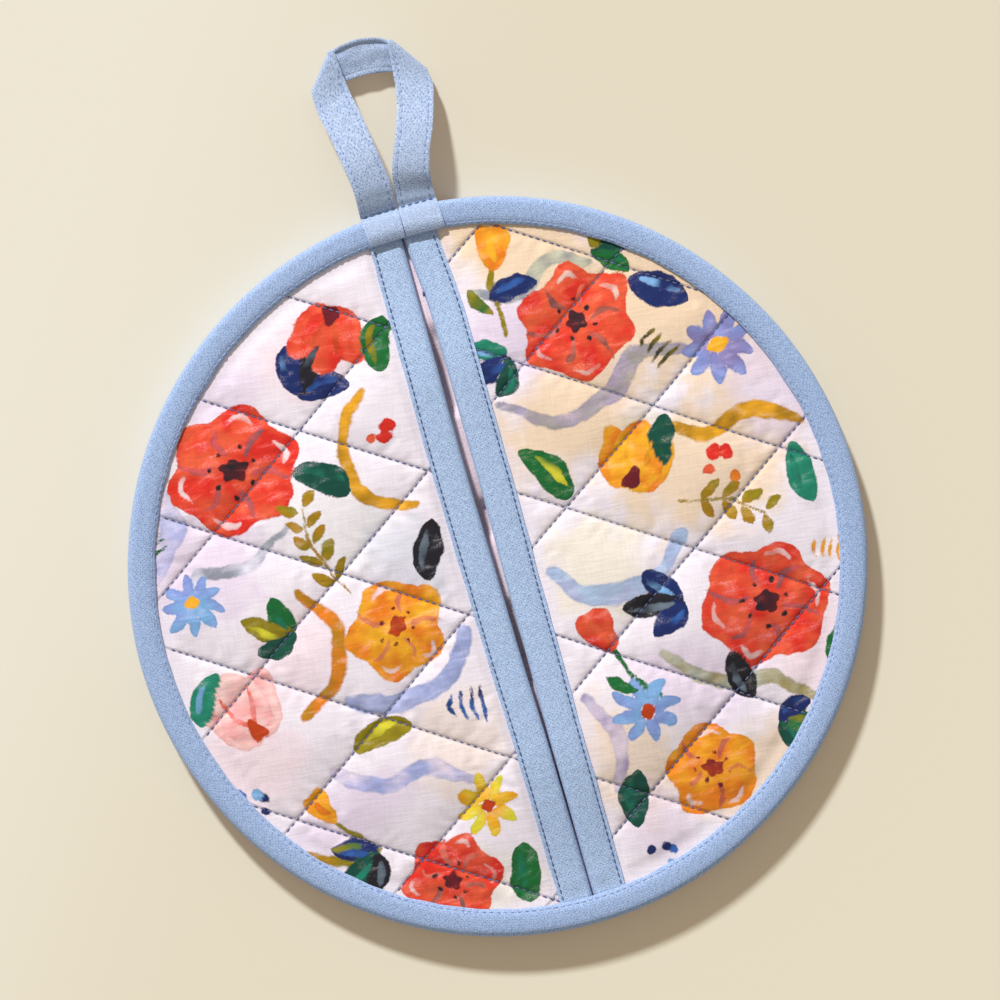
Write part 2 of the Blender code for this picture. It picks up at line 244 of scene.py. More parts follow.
def along(pairs, place):
    """The value at a place between the listed (place, value) pairs, with smooth steps."""
    for (start, low), (end, high) in zip(pairs, pairs[1:]):
        if place <= end:
            return mix(low, high, smooth((place - start) / (end - start)))
    return pairs[-1][1]


def wander(x, y, scale, seed):
    """Even noise from -1 to 1 over a place, with features about as long as scale."""
    return noise.noise(Vector((x / scale, y / scale, seed)))


# Forms of the quilts

SEAM_NORMALS = [Vector((sign / DIAMOND[0], 1 / DIAMOND[1])) for sign in (1, -1)]
SEAM_SPACING = 1 / SEAM_NORMALS[0].length


def seam_rows(x, y, crossing):
    """The place counted in seams of both families. Whole numbers lie on the slightly wandering seams."""
    offset = Vector((x, y)) + seam_drift(x, y, crossing) - Vector(crossing)
    return [normal.dot(offset) for normal in SEAM_NORMALS]


def seam_drift(x, y, crossing):
    seed = 100 * crossing[0]
    drift_x = SEAM_WANDER * wander(x, y, 0.045, 3.1 + seed)
    drift_y = SEAM_WANDER * wander(x, y, 0.045, 8.6 + seed)
    return Vector((drift_x, drift_y))


def seam_places(x, y, crossing):
    """For both families of seams: distance to the nearest seam, place along it, and its number."""
    found = []
    offset = Vector((x, y)) + seam_drift(x, y, crossing) - Vector(crossing)
    for normal, rows in zip(SEAM_NORMALS, seam_rows(x, y, crossing)):
        number = math.floor(rows + 0.5)
        run = Vector((-normal.y, normal.x)).normalized().dot(offset)
        found.append((abs(rows - number) * SEAM_SPACING, run, number))
    return found


def map_seams(item, crossing):
    """Gives a cloth the seam rows as its UV map, for the grooves that its material bumps in and darkens with
    painted shade.
    """
    places = [seam_rows(vertex.co.x, vertex.co.y, crossing) for vertex in item.data.vertices]
    uv = item.data.uv_layers.active.data
    for loop in item.data.loops:
        uv[loop.index].uv = places[loop.vertex_index]


def pillow_height(x, y, crossing):
    """0 on a quilting seam, and 1 on the pillow between the seams."""
    height = 1.0
    for distance, _, _ in seam_places(x, y, crossing):
        height *= 1 - (1 - clamp(distance / SEAM_REACH)) ** 2.0
    return height


def puckers(x, y, crossing, seed):
    """Small gathers that the thread pulls into the cloth beside each seam."""
    height = 0.0
    for distance, run, number in seam_places(x, y, crossing):
        near = distance / PUCKER_REACH
        fade = near * math.exp(1 - near)
        gather = wander(run, number * 0.7, 0.0026, seed) + 0.6 * wander(run, number * 0.9, 0.0058, seed + 4)
        height += PUCKER_RISE * fade * gather
        stitch = 0.5 + 0.5 * math.cos(2 * math.pi * run / STITCH_PITCH)
        height -= (SEAM_DIP - STITCH_DIP * stitch) * math.exp(-((distance / DIP_REACH) ** 2))
    return height


def soft_folds(x, y, seed):
    slanted = Vector((x * 0.8 + y * 0.6, (y * 0.8 - x * 0.6) * 0.45))
    broad = FOLD_RISE * wander(slanted.x, slanted.y, 0.011, seed)
    return broad + FOLD_RISE / 2 * wander(x, y, 0.005, seed + 2)


def shelf_share(x, y):
    return smooth(1 - (SHELF_RADIUS - math.hypot(x, y)) / SHELF_BLEND)


def back_form(x, y):
    """Lower side and thickness of the back panel."""
    pillow = pillow_height(x, y, BACK_CROSSING)
    shelf = shelf_share(x, y)
    low = mix(mix(BACK_SEAM_RISE, 0.0, pillow), BACK_FLOOR, shelf)
    thick = mix(mix(SEAM, BACK_PILLOW, pillow), BACK_RIM, shelf)
    return low, thick


def pocket_lift(radius):
    return POCKET_LIFT * smooth((SHELF_RADIUS - radius) / LIFT_RUN)


class Pocket:
    """The sizes of one pocket panel. side is -1 for the left pocket and 1 for the right one."""

    def __init__(self, word, side, slit, crossing):
        self.word = word
        self.side = side
        self.slit = slit
        self.crossing = crossing
        self.swelling = None

    def edge(self, y):
        return along(self.slit, y / PANEL_RADIUS)

    def point(self, inset, y):
        """Plan place of a point this far in from the slit's edge."""
        return self.edge(y) + self.side * inset, y

    def inset(self, x, y):
        return self.side * (x - self.edge(y))

    def risen(self, x, y):
        """0 where the cloth lies under the tape, and 1 where it has reached its full height."""
        return 1 - (1 - clamp((self.inset(x, y) - TAPE_WIDTH) / TAPE_RISE)) ** 2

    def form(self, x, y):
        """Lower side and thickness of the panel."""
        pillow = pillow_height(x, y, self.crossing)
        shelf = shelf_share(x, y)
        lift = pocket_lift(math.hypot(x, y))
        low = mix(POCKET_SEAM_RISE * (1 - pillow), 0.0, shelf) + lift
        thick = mix(mix(SEAM, POCKET_PILLOW, pillow), POCKET_RIM, shelf)
        risen = self.risen(x, y)
        low = mix(SKIN + pocket_lift(abs(y)), low, risen)
        thick = mix(EDGE_PANEL, thick, risen)
        return POCKET_FLOOR + low, thick

    def rise(self, x, y):
        """How far the printed cloth stands over its seams."""
        if self.swelling is None:
            return PILLOW_RISE * pillow_height(x, y, self.crossing)
        return swelling_at(self.swelling, x, y, self.crossing)

    def top(self, x, y):
        """The printed side, with its puckers and soft folds, none of them under the tapes."""
        seed = 20.0 + self.side
        relief = puckers(x, y, self.crossing, seed) + soft_folds(x, y, seed) + self.rise(x, y)
        high = POCKET_RIM + pocket_lift(math.hypot(x, y)) + (1 - shelf_share(x, y)) * relief
        low = SKIN + pocket_lift(abs(y)) + EDGE_PANEL
        return POCKET_FLOOR + mix(low, high, self.risen(x, y))


LEFT = Pocket("left", -1, LEFT_SLIT, LEFT_CROSSING)
RIGHT = Pocket("right", 1, RIGHT_SLIT, RIGHT_CROSSING)


# Cloth simulation


def lattice_place(row, column, crossing):
    """Plan place of a lattice point, whose rows and columns run along the seams."""
    across = (row - column) / (2 * SIM_CELLS) * DIAMOND[0]
    up = (row + column) / (2 * SIM_CELLS) * DIAMOND[1]
    return crossing[0] + across, crossing[1] + up


def swelling_at(heights, x, y, crossing):
    """The simulated rise at a place, on a smooth surface through the lattice points."""
    row, column = [(place + SIM_ROWS) * SIM_CELLS for place in seam_rows(x, y, crossing)]
    first, other = math.floor(row), math.floor(column)
    if not (1 <= first < len(heights) - 2 and 1 <= other < len(heights) - 2):
        return 0.0
    near = heights[first - 1 : first + 3, other - 1 : other + 3]
    weights = []
    for share in (row - first, column - other):
        weights.append((
            0.5 * share * (-1 + share * (2 - share)),
            1 + 0.5 * share * share * (3 * share - 5),
            0.5 * share * (1 + share * (4 - 3 * share)),
            0.5 * share * share * (share - 1),
        ))
    found = 0.0
    for weight, line in zip(weights[0], near):
        found += weight * sum(a * b for a, b in zip(weights[1], line))
    return min(MOST_SWELL, SIM_SHARE * found)


def swell(pocket):
    """Sews a slightly larger cloth down on the seams, lets pressure swell it and keeps its rise."""
    reach = SIM_ROWS * SIM_CELLS
    bm = bmesh.new()
    corners = {}
    pins = []
    for row in range(-reach, reach + 1):
        for column in range(-reach, reach + 1):
            x, y = lattice_place(row, column, pocket.crossing)
            inset = pocket.inset(x, y)
            if math.hypot(x, y) > PANEL_RADIUS or inset < TAPE_WIDTH - 0.003:
                continue
            sewn = row % SIM_CELLS == 0 or column % SIM_CELLS == 0
            sewn = sewn or math.hypot(x, y) > SHELF_RADIUS - 0.0005 or inset < TAPE_WIDTH + 0.0015
            rise = 0.5 * PILLOW_RISE * pillow_height(x, y, pocket.crossing)
            rise += 0.0001 * wander(x, y, 0.006, 77.0)
            if sewn:
                pins.append(len(corners))
                rise = 0.0
            corners[row, column] = bm.verts.new(Vector((x, y, rise)) * SIM_SCALE)
    for row, column in corners:
        ring = [(row, column), (row + 1, column), (row + 1, column + 1), (row, column + 1)]
        if all(key in corners for key in ring):
            bm.faces.new([corners[key] for key in ring])
    if sum(face.normal.z for face in bm.faces) < 0:
        bmesh.ops.reverse_faces(bm, faces=bm.faces[:])
    keys = list(corners)
    mesh = bpy.data.meshes.new("swelling_cloth")
    bm.to_mesh(mesh)
    bm.free()
    item = bpy.data.objects.new("swelling_cloth", mesh)
    bpy.context.scene.collection.objects.link(item)
    item.vertex_groups.new(name="sewn").add(pins, 1.0, "REPLACE")
    cloth = item.modifiers.new("cloth", "CLOTH")
    cloth.collision_settings.use_collision = False
    given = cloth.settings
    given.vertex_group_mass = "sewn"
    given.quality = 5
    given.mass = 0.3
    given.tension_stiffness = 15
    given.compression_stiffness = 15
    given.shear_stiffness = 8
    given.bending_stiffness = 0.4
    given.shrink_min = -SIM_GROWTH
    given.use_pressure = True
    given.uniform_pressure_force = SIM_PRESSURE
    given.effector_weights.gravity = 0.0
    cloth.point_cache.frame_start = 1
    cloth.point_cache.frame_end = SIM_FRAMES
    for frame in range(1, SIM_FRAMES + 1):
        bpy.context.scene.frame_set(frame)
    make_active(item)
    bpy.ops.object.modifier_apply(modifier=cloth.name)
    heights = np.zeros((2 * reach + 1, 2 * reach + 1))
    for (row, column), corner in zip(keys, item.data.vertices):
        heights[row + reach, column + reach] = corner.co.z / SIM_SCALE
    bpy.data.objects.remove(item, do_unlink=True)
    bpy.context.scene.frame_set(1)
    return heights


# Mesh helpers


def deselect():
    bpy.ops.object.select_all(action="DESELECT")


def make_active(item):
    deselect()
    item.select_set(True)
    bpy.context.view_layer.objects.active = item


def edit_all(operation, **settings):
    """Runs an edit-mode operator on the whole of the active mesh."""
    bpy.ops.object.mode_set(mode="EDIT")
    bpy.ops.mesh.select_all(action="SELECT")
    operation(**settings)
    bpy.ops.object.mode_set(mode="OBJECT")


def apply_modifier(item, kind, **settings):
    make_active(item)
    modifier = item.modifiers.new(kind.lower(), kind)
    for name, value in settings.items():
        setattr(modifier, name, value)
    bpy.ops.object.modifier_apply(modifier=modifier.name)


def grid(name, columns, rows):
    """A flat grid of unit size round the origin, which its maker then shapes."""
    deselect()
    bpy.ops.mesh.primitive_grid_add(x_subdivisions=columns, y_subdivisions=rows, size=1, location=(0, 0, 0))
    item = bpy.context.object
    item.name = name
    item.data.name = name
    return item


def finish_piece(item, material, slot, *nodes):
    """Gives a piece its material and its place in the frame, and hides the CAD nodes that it stands for."""
    item.data.materials.clear()
    item.data.materials.append(material)
    make_active(item)
    bpy.ops.object.shade_smooth_by_angle(angle=SMOOTH_ANGLE)
    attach(item, "root")
    if nodes:
        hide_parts(*nodes)


def trim_to_disc(item, cell):
    """Deletes what lies outside the panel's radius and draws the last row onto it."""
    make_active(item)
    bpy.ops.object.mode_set(mode="EDIT")
    bpy.ops.mesh.select_mode(type="VERT")
    bpy.ops.mesh.select_all(action="DESELECT")
    bpy.ops.object.mode_set(mode="OBJECT")
    for vertex in item.data.vertices:
        vertex.select = vertex.co.xy.length > PANEL_RADIUS + 0.6 * cell
    bpy.ops.object.mode_set(mode="EDIT")
    bpy.ops.mesh.delete(type="VERT")
    bpy.ops.object.mode_set(mode="OBJECT")
    for vertex in item.data.vertices:
        radius = vertex.co.xy.length
        if radius > PANEL_RADIUS - 0.4 * cell:
            vertex.co.x *= PANEL_RADIUS / radius
            vertex.co.y *= PANEL_RADIUS / radius


def half_moon(name, pocket, cell):
    """The plan of a pocket panel, from the fold of its tape to the rim."""
    item = grid(name, round(PANEL_RADIUS / cell), round(2 * PANEL_RADIUS / cell))
    for vertex in item.data.vertices:
        inset = mix(TAPE_FOLD, PANEL_RADIUS + 2 * cell, vertex.co.x + 0.5)
        vertex.co.x, vertex.co.y = pocket.point(inset, 2 * PANEL_RADIUS * vertex.co.y)
    trim_to_disc(item, cell)
    if pocket.side < 0:
        edit_all(bpy.ops.mesh.flip_normals)
    return item


def full_disc(name, cell):
    steps = round(2 * PANEL_RADIUS / cell)
    item = grid(name, steps, steps)
    for vertex in item.data.vertices:
        vertex.co.x *= 2 * PANEL_RADIUS
        vertex.co.y *= 2 * PANEL_RADIUS
    trim_to_disc(item, cell)
    return item


def two_sides(item, upper, lower):
    """Closes an open plan into a layer with an upper and a lower side."""
    count = len(item.data.vertices)
    apply_modifier(item, "SOLIDIFY", thickness=CLOTH, offset=-1)
    places = [vertex.co.copy() for vertex in item.data.vertices[:count]]
    for index, vertex in enumerate(item.data.vertices):
        plan = places[index % count]
        height = upper(plan.x, plan.y) if index < count else lower(plan.x, plan.y)
        vertex.co = (plan.x, plan.y, height)


# Materials

PAINT_LAYERS = 4
GROUND_NAME = "ground"
LAYER_NAME = "paint_{}"


def feed(tree, sockets, inputs):
    """Gives each named socket a link or a value."""
    for key, value in inputs.items():
        if isinstance(value, bpy.types.NodeSocket):
            tree.links.new(value, sockets[key])
        else:
            sockets[key].default_value = value


def node(tree, kind, inputs=None, **settings):
    made = tree.nodes.new("ShaderNode" + kind)
    for name, value in settings.items():
        setattr(made, name, value)
    feed(tree, made.inputs, inputs or {})
    return made


def scaled(tree, vector, scale):
    return node(tree, "VectorMath", {0: vector, "Scale": scale}, operation="SCALE").outputs[0]


def separate(tree, vector):
    return node(tree, "SeparateXYZ", {0: vector}).outputs


def maths(tree, operation, first, second=0.0, third=0.0, clamped=False):
    made = node(tree, "Math", {0: first, 1: second, 2: third}, operation=operation, use_clamp=clamped)
    return made.outputs[0]


def blend(tree, share, first, second):
    """Mixes two colours."""
    made = node(tree, "Mix", {0: share, 6: first, 7: second}, data_type="RGBA", clamp_factor=True)
    return made.outputs[2]


def spread(tree, value, low, high, to_low=0.0, to_high=1.0):
    """A smooth step of a value from one range to another."""
    inputs = {"Value": value, "From Min": low, "From Max": high, "To Min": to_low, "To Max": to_high}
    return node(tree, "MapRange", inputs, interpolation_type="SMOOTHSTEP").outputs[0]


def noise_value(tree, vector, scale, detail, roughness=0.55, distortion=0.0):
    inputs = {"Vector": vector, "Scale": scale, "Detail": detail, "Roughness": roughness}
    return node(tree, "TexNoise", {**inputs, "Distortion": distortion}).outputs["Fac"]


def linear(red, green, blue):
    """A colour as written for a screen, 0 to 255, in the renderer's linear values."""
    values = []
    for value in (red, green, blue):
        share = value / 255
        values.append(share / 12.92 if share <= 0.04045 else ((share + 0.055) / 1.055) ** 2.4)
    return (*values, 1.0)


def new_group(name, inputs, outputs):
    """A node group with these named sockets, and its input and output nodes."""
    tree = bpy.data.node_groups.new(name, "ShaderNodeTree")
    for socket, (kind, value) in inputs.items():
        made = tree.interface.new_socket(name=socket, in_out="INPUT", socket_type="NodeSocket" + kind)
        if value is not None:
            made.default_value = value
    for socket, kind in outputs.items():
        tree.interface.new_socket(name=socket, in_out="OUTPUT", socket_type="NodeSocket" + kind)
    return tree, tree.nodes.new("NodeGroupInput").outputs, tree.nodes.new("NodeGroupOutput").inputs


def build_weave_group():
    """Plain woven threads: their relief, the pinholes between them and their slubs."""
    tree, given, made = new_group(
        "woven_threads",
        {
            "Place": ("Vector", None),
            "Pitch": ("Float", 0.0006),
            "Holes": ("Float", 0.0006),
            "Turn": ("Float", 0.0),
            "Slub": ("Float", 1.0),
            "Streaks": ("Float", 300.0),
        },
        {"Height": "Float", "Pinholes": "Float", "Threads": "Float"},
    )
    turning = {"Vector": given["Place"], "Angle": given["Turn"]}
    turned = node(tree, "VectorRotate", turning, rotation_type="Z_AXIS").outputs[0]
    bend = node(tree, "TexNoise", {"Vector": turned, "Scale": 420.0, "Detail": 2.0}).outputs["Color"]
    shifted = node(tree, "VectorMath", {0: bend, 1: (0.5, 0.5, 0.5)}, operation="SUBTRACT").outputs[0]
    pushed = scaled(tree, shifted, 0.0010)
    place = node(tree, "VectorMath", {0: turned, 1: pushed}, operation="ADD").outputs[0]
    axes = separate(tree, place)[:2]

    def waves(pitch):
        rate = maths(tree, "DIVIDE", math.pi, pitch)
        return [maths(tree, "SINE", maths(tree, "MULTIPLY", axis, rate)) for axis in axes]

    over = maths(tree, "MULTIPLY", *waves(given["Pitch"]))
    sides = [maths(tree, "ABSOLUTE", wave) for wave in waves(given["Holes"])]
    hole = spread(tree, maths(tree, "MAXIMUM", *sides), 0.66, 0.30)
    slubs = []
    for first, second in ((0, 1), (1, 0)):
        scale = node(tree, "CombineXYZ", {first: given["Streaks"], second: 1500.0, 2: 1.0}).outputs[0]
        long = node(tree, "VectorMath", {0: place, 1: scale}, operation="MULTIPLY").outputs[0]
        slubs.append(noise_value(tree, long, 1.0, 2.0))
    slub = maths(tree, "MULTIPLY_ADD", slubs[0], 0.6, maths(tree, "MULTIPLY", slubs[1], 0.4))
    uneven = noise_value(tree, place, 1000.0, 2.0)
    height = maths(tree, "MULTIPLY_ADD", over, 0.35, 0.5)
    height = maths(tree, "MULTIPLY_ADD", maths(tree, "SUBTRACT", slub, 0.5), given["Slub"], height)
    height = maths(tree, "MULTIPLY_ADD", maths(tree, "SUBTRACT", uneven, 0.5), 0.5, height)
    tree.links.new(height, made["Height"])
    tree.links.new(maths(tree, "MULTIPLY", hole, spread(tree, uneven, 0.42, 0.55)), made["Pinholes"])
    tree.links.new(slub, made["Threads"])
    return tree


def build_paint_group():
    """One layer of paint printed on the cloth: wavering edges, pooled pigment and dry patches."""
    tree, given, made = new_group(
        "print_layer",
        {
            "Under": ("Color", (1.0, 1.0, 1.0, 1.0)),
            "Paint": ("Color", (1.0, 0.0, 0.0, 1.0)),
            "Reach": ("Float", 1.0),
            "Place": ("Vector", None),
            "Softness": ("Float", 0.03),
            "Dryness": ("Float", 0.3),
        },
        {"Colour": "Color"},
    )
    coarse = noise_value(tree, given["Place"], 420.0, 3.0)
    fine = noise_value(tree, given["Place"], 1500.0, 2.0)
    wobble = maths(tree, "MULTIPLY", maths(tree, "SUBTRACT", coarse, 0.5), 0.13)
    wobble = maths(tree, "MULTIPLY_ADD", maths(tree, "SUBTRACT", fine, 0.5), 0.08, wobble)
    reach = maths(tree, "ADD", maths(tree, "SUBTRACT", given["Reach"], 0.5), wobble)
    cover = spread(tree, reach, given["Softness"], maths(tree, "MULTIPLY", given["Softness"], -1.0))
    pool = spread(tree, reach, -0.12, -0.01, 0.0, 0.10)
    streaks = node(tree, "Mapping", {"Vector": given["Place"], "Scale": (120.0, 300.0, 1.0)})
    brushed = noise_value(tree, streaks.outputs[0], 1.0, 4.0, 0.62, 0.5)
    light = spread(tree, brushed, 0.30, 0.72, 0.86, 1.14)
    shaded = scaled(tree, given["Paint"], maths(tree, "SUBTRACT", light, pool))
    dry = maths(tree, "MULTIPLY", spread(tree, brushed, 0.50, 0.74), given["Dryness"])
    grain = spread(tree, noise_value(tree, given["Place"], 2400.0, 2.0), 0.35, 0.65)
    dry = maths(tree, "MULTIPLY", dry, grain)
    cover = maths(tree, "MULTIPLY", cover, maths(tree, "SUBTRACT", 1.0, dry), clamped=True)
    tree.links.new(blend(tree, cover, given["Under"], shaded), made["Colour"])
    return tree


WEAVE = build_weave_group()
PAINT_LAYER = build_paint_group()


def use_group(tree, group, inputs):
    return node(tree, "Group", inputs, node_tree=group).outputs


def cloth_material(name, roughness=0.92, sheen=0.25):
    material = bpy.data.materials.new(name)
    material.use_nodes = True
    tree = material.node_tree
    shader = tree.nodes["Principled BSDF"]
    given = {"Roughness": roughness, "Specular IOR Level": 0.25}
    feed(tree, shader.inputs, {**given, "Sheen Weight": sheen, "Sheen Roughness": 0.45})
    return material, tree, shader


def finish_cloth(tree, shader, colour, height, distance, strength):
    """Links the cloth's colour and its relief."""
    bump = node(tree, "Bump", {"Height": height, "Distance": distance, "Strength": strength})
    feed(tree, shader.inputs, {"Base Color": colour, "Normal": bump.outputs[0]})


def object_place(tree):
    return node(tree, "TexCoord").outputs["Object"]


def flat_place(tree):
    return node(tree, "UVMap", uv_map="UVMap").outputs[0]


def seam_grooves(tree):
    """1 on the quilting seams and 0 beside them, from the cloth's seam rows."""
    sides = []
    for axis in separate(tree, flat_place(tree))[:2]:
        share = maths(tree, "FRACT", maths(tree, "ADD", axis, 0.5))
        sides.append(maths(tree, "ABSOLUTE", maths(tree, "SUBTRACT", share, 0.5)))
    nearest = maths(tree, "MULTIPLY", maths(tree, "MINIMUM", *sides), SEAM_SPACING)
    return spread(tree, nearest, 0.00008, 0.00075, 1.0, 0.0)


def build_print_material():
    """Cotton with the painted print, whose shapes lie in the cloth's own colour layers, darkened along the
    quilting seams as painted shade in their grooves.
    """
    material, tree, shader = cloth_material("printed_cotton")
    place = object_place(tree)
    colour = node(tree, "Attribute", attribute_name=GROUND_NAME).outputs["Color"]
    for layer in range(PAINT_LAYERS):
        paint = node(tree, "Attribute", attribute_name=LAYER_NAME.format(layer))
        inputs = {
            "Under": colour,
            "Paint": paint.outputs["Color"],
            "Reach": paint.outputs["Alpha"],
            "Place": place,
            "Softness": 0.035 if layer else 0.06,
            "Dryness": 0.35 if layer else 0.55,
        }
        colour = use_group(tree, PAINT_LAYER, inputs)["Colour"]
    given = {"Place": place, "Pitch": 0.00046, "Turn": 0.12, "Slub": 1.5, "Streaks": 130.0}
    weave = use_group(tree, WEAVE, given)
    slubs = spread(tree, weave["Threads"], 0.36, 0.64, 0.93, 1.03)
    groove_and_painted_shade = seam_grooves(tree)
    # Painted shade: the colour darkens by up to 0.3 along the seams' grooves, besides their bump.
    tone = maths(tree, "MULTIPLY", slubs, maths(tree, "MULTIPLY_ADD", groove_and_painted_shade, -0.30, 1.0))
    relief = maths(tree, "MULTIPLY_ADD", groove_and_painted_shade, -2.2, weave["Height"])
    finish_cloth(tree, shader, scaled(tree, colour, tone), relief, 0.00012, 0.55)
    return material


def build_tape_material(name, colour, dark):
    """Blue slubbed cotton cut on the bias, flecked along its threads and dark in its pinholes."""
    material, tree, shader = cloth_material(name, 0.9, 0.15)
    place = flat_place(tree)
    given = {
        "Place": place,
        "Pitch": 0.00052,
        "Holes": 0.00080,
        "Turn": math.radians(45),
        "Slub": 1.2,
        "Streaks": 500.0,
    }
    weave = use_group(tree, WEAVE, given)
    tone = blend(tree, spread(tree, weave["Threads"], 0.30, 0.60, 0.72, 1.0), dark, colour)
    light = spread(tree, noise_value(tree, place, 2300.0, 2.0, 0.6), 0.34, 0.66, 0.80, 1.20)
    tone = blend(tree, maths(tree, "MULTIPLY", weave["Pinholes"], 0.85), scaled(tree, tone, light), dark)
    finish_cloth(tree, shader, tone, weave["Height"], 0.00010, 0.5)
    return material


def build_plain_material(name, colour, dark, pitch):
    material, tree, shader = cloth_material(name, 0.9, 0.25)
    place = object_place(tree)
    weave = use_group(tree, WEAVE, {"Place": place, "Pitch": pitch, "Slub": 1.2, "Streaks": 200.0})
    tone = blend(tree, spread(tree, weave["Threads"], 0.34, 0.66), dark, colour)
    finish_cloth(tree, shader, tone, weave["Height"], 0.00012, 0.6)
    return material


def build_wadding_material():
    material, tree, shader = cloth_material("cotton_wadding", 1.0, 0.5)
    place = object_place(tree)
    fibres = noise_value(tree, place, 700.0, 5.0, 0.7, 1.5)
    tone = blend(tree, spread(tree, fibres, 0.3, 0.7), linear(222, 217, 204), linear(244, 241, 232))
    finish_cloth(tree, shader, tone, fibres, 0.0006, 0.8)
    return material


def build_thread_material(name, colour, dark):
    """Two-ply thread, whose twist crosses it at a slant."""
    material, tree, shader = cloth_material(name, 0.6, 0.4)
    place = object_place(tree)
    twist = noise_value(tree, place, 2600.0, 2.0)
    tone = blend(tree, spread(tree, twist, 0.35, 0.65), dark, colour)
    finish_cloth(tree, shader, tone, twist, 0.00008, 0.6)
    return material


# The print

GROUND = linear(244, 235, 248)
PEACH = linear(243, 216, 188)
CREAM = linear(246, 236, 224)
LILAC = linear(233, 216, 240)
ROSE = linear(246, 221, 231)
MIST = linear(218, 218, 236)
SAGE = linear(190, 196, 176)
RED = linear(226, 46, 34)
CORAL = linear(238, 96, 62)
PINK = linear(243, 158, 160)
BLUSH = linear(248, 208, 206)
ORANGE = linear(236, 128, 28)
RUST = linear(196, 66, 20)
MAROON = linear(110, 26, 38)
AMBER = linear(246, 176, 40)
LEMON = linear(226, 218, 60)
OLIVE = linear(150, 134, 24)
OCHRE = linear(186, 134, 26)
LEAF = linear(26, 108, 52)
PINE = linear(18, 78, 66)
TEAL = linear(34, 136, 110)
NAVY = linear(28, 44, 104)
BLUE = linear(58, 108, 190)
SKY = linear(128, 178, 230)
PERIWINKLE = linear(138, 158, 224)
VIOLET = linear(142, 132, 190)
SLATE = linear(110, 124, 140)
INK = linear(34, 32, 40)
WHITE = linear(250, 247, 250)

# Distance past a shape's edge at which its paint is forgotten
REACH_MM = 8.0


def noise_field(places, scale, seed):
    """Even noise from -1 to 1 at each place, in millimetres."""
    values = [noise.noise(Vector((x / scale, y / scale, seed))) for x, y in places.tolist()]
    return np.array(values)


def polar(x, y, reach, degrees):
    turn = math.radians(degrees)
    return x + reach * math.cos(turn), y + reach * math.sin(turn)


def polar_path(x, y, size, pairs):
    """Points at these (share of the size, degrees) from a place."""
    return [polar(x, y, share * size, degrees) for share, degrees in pairs]


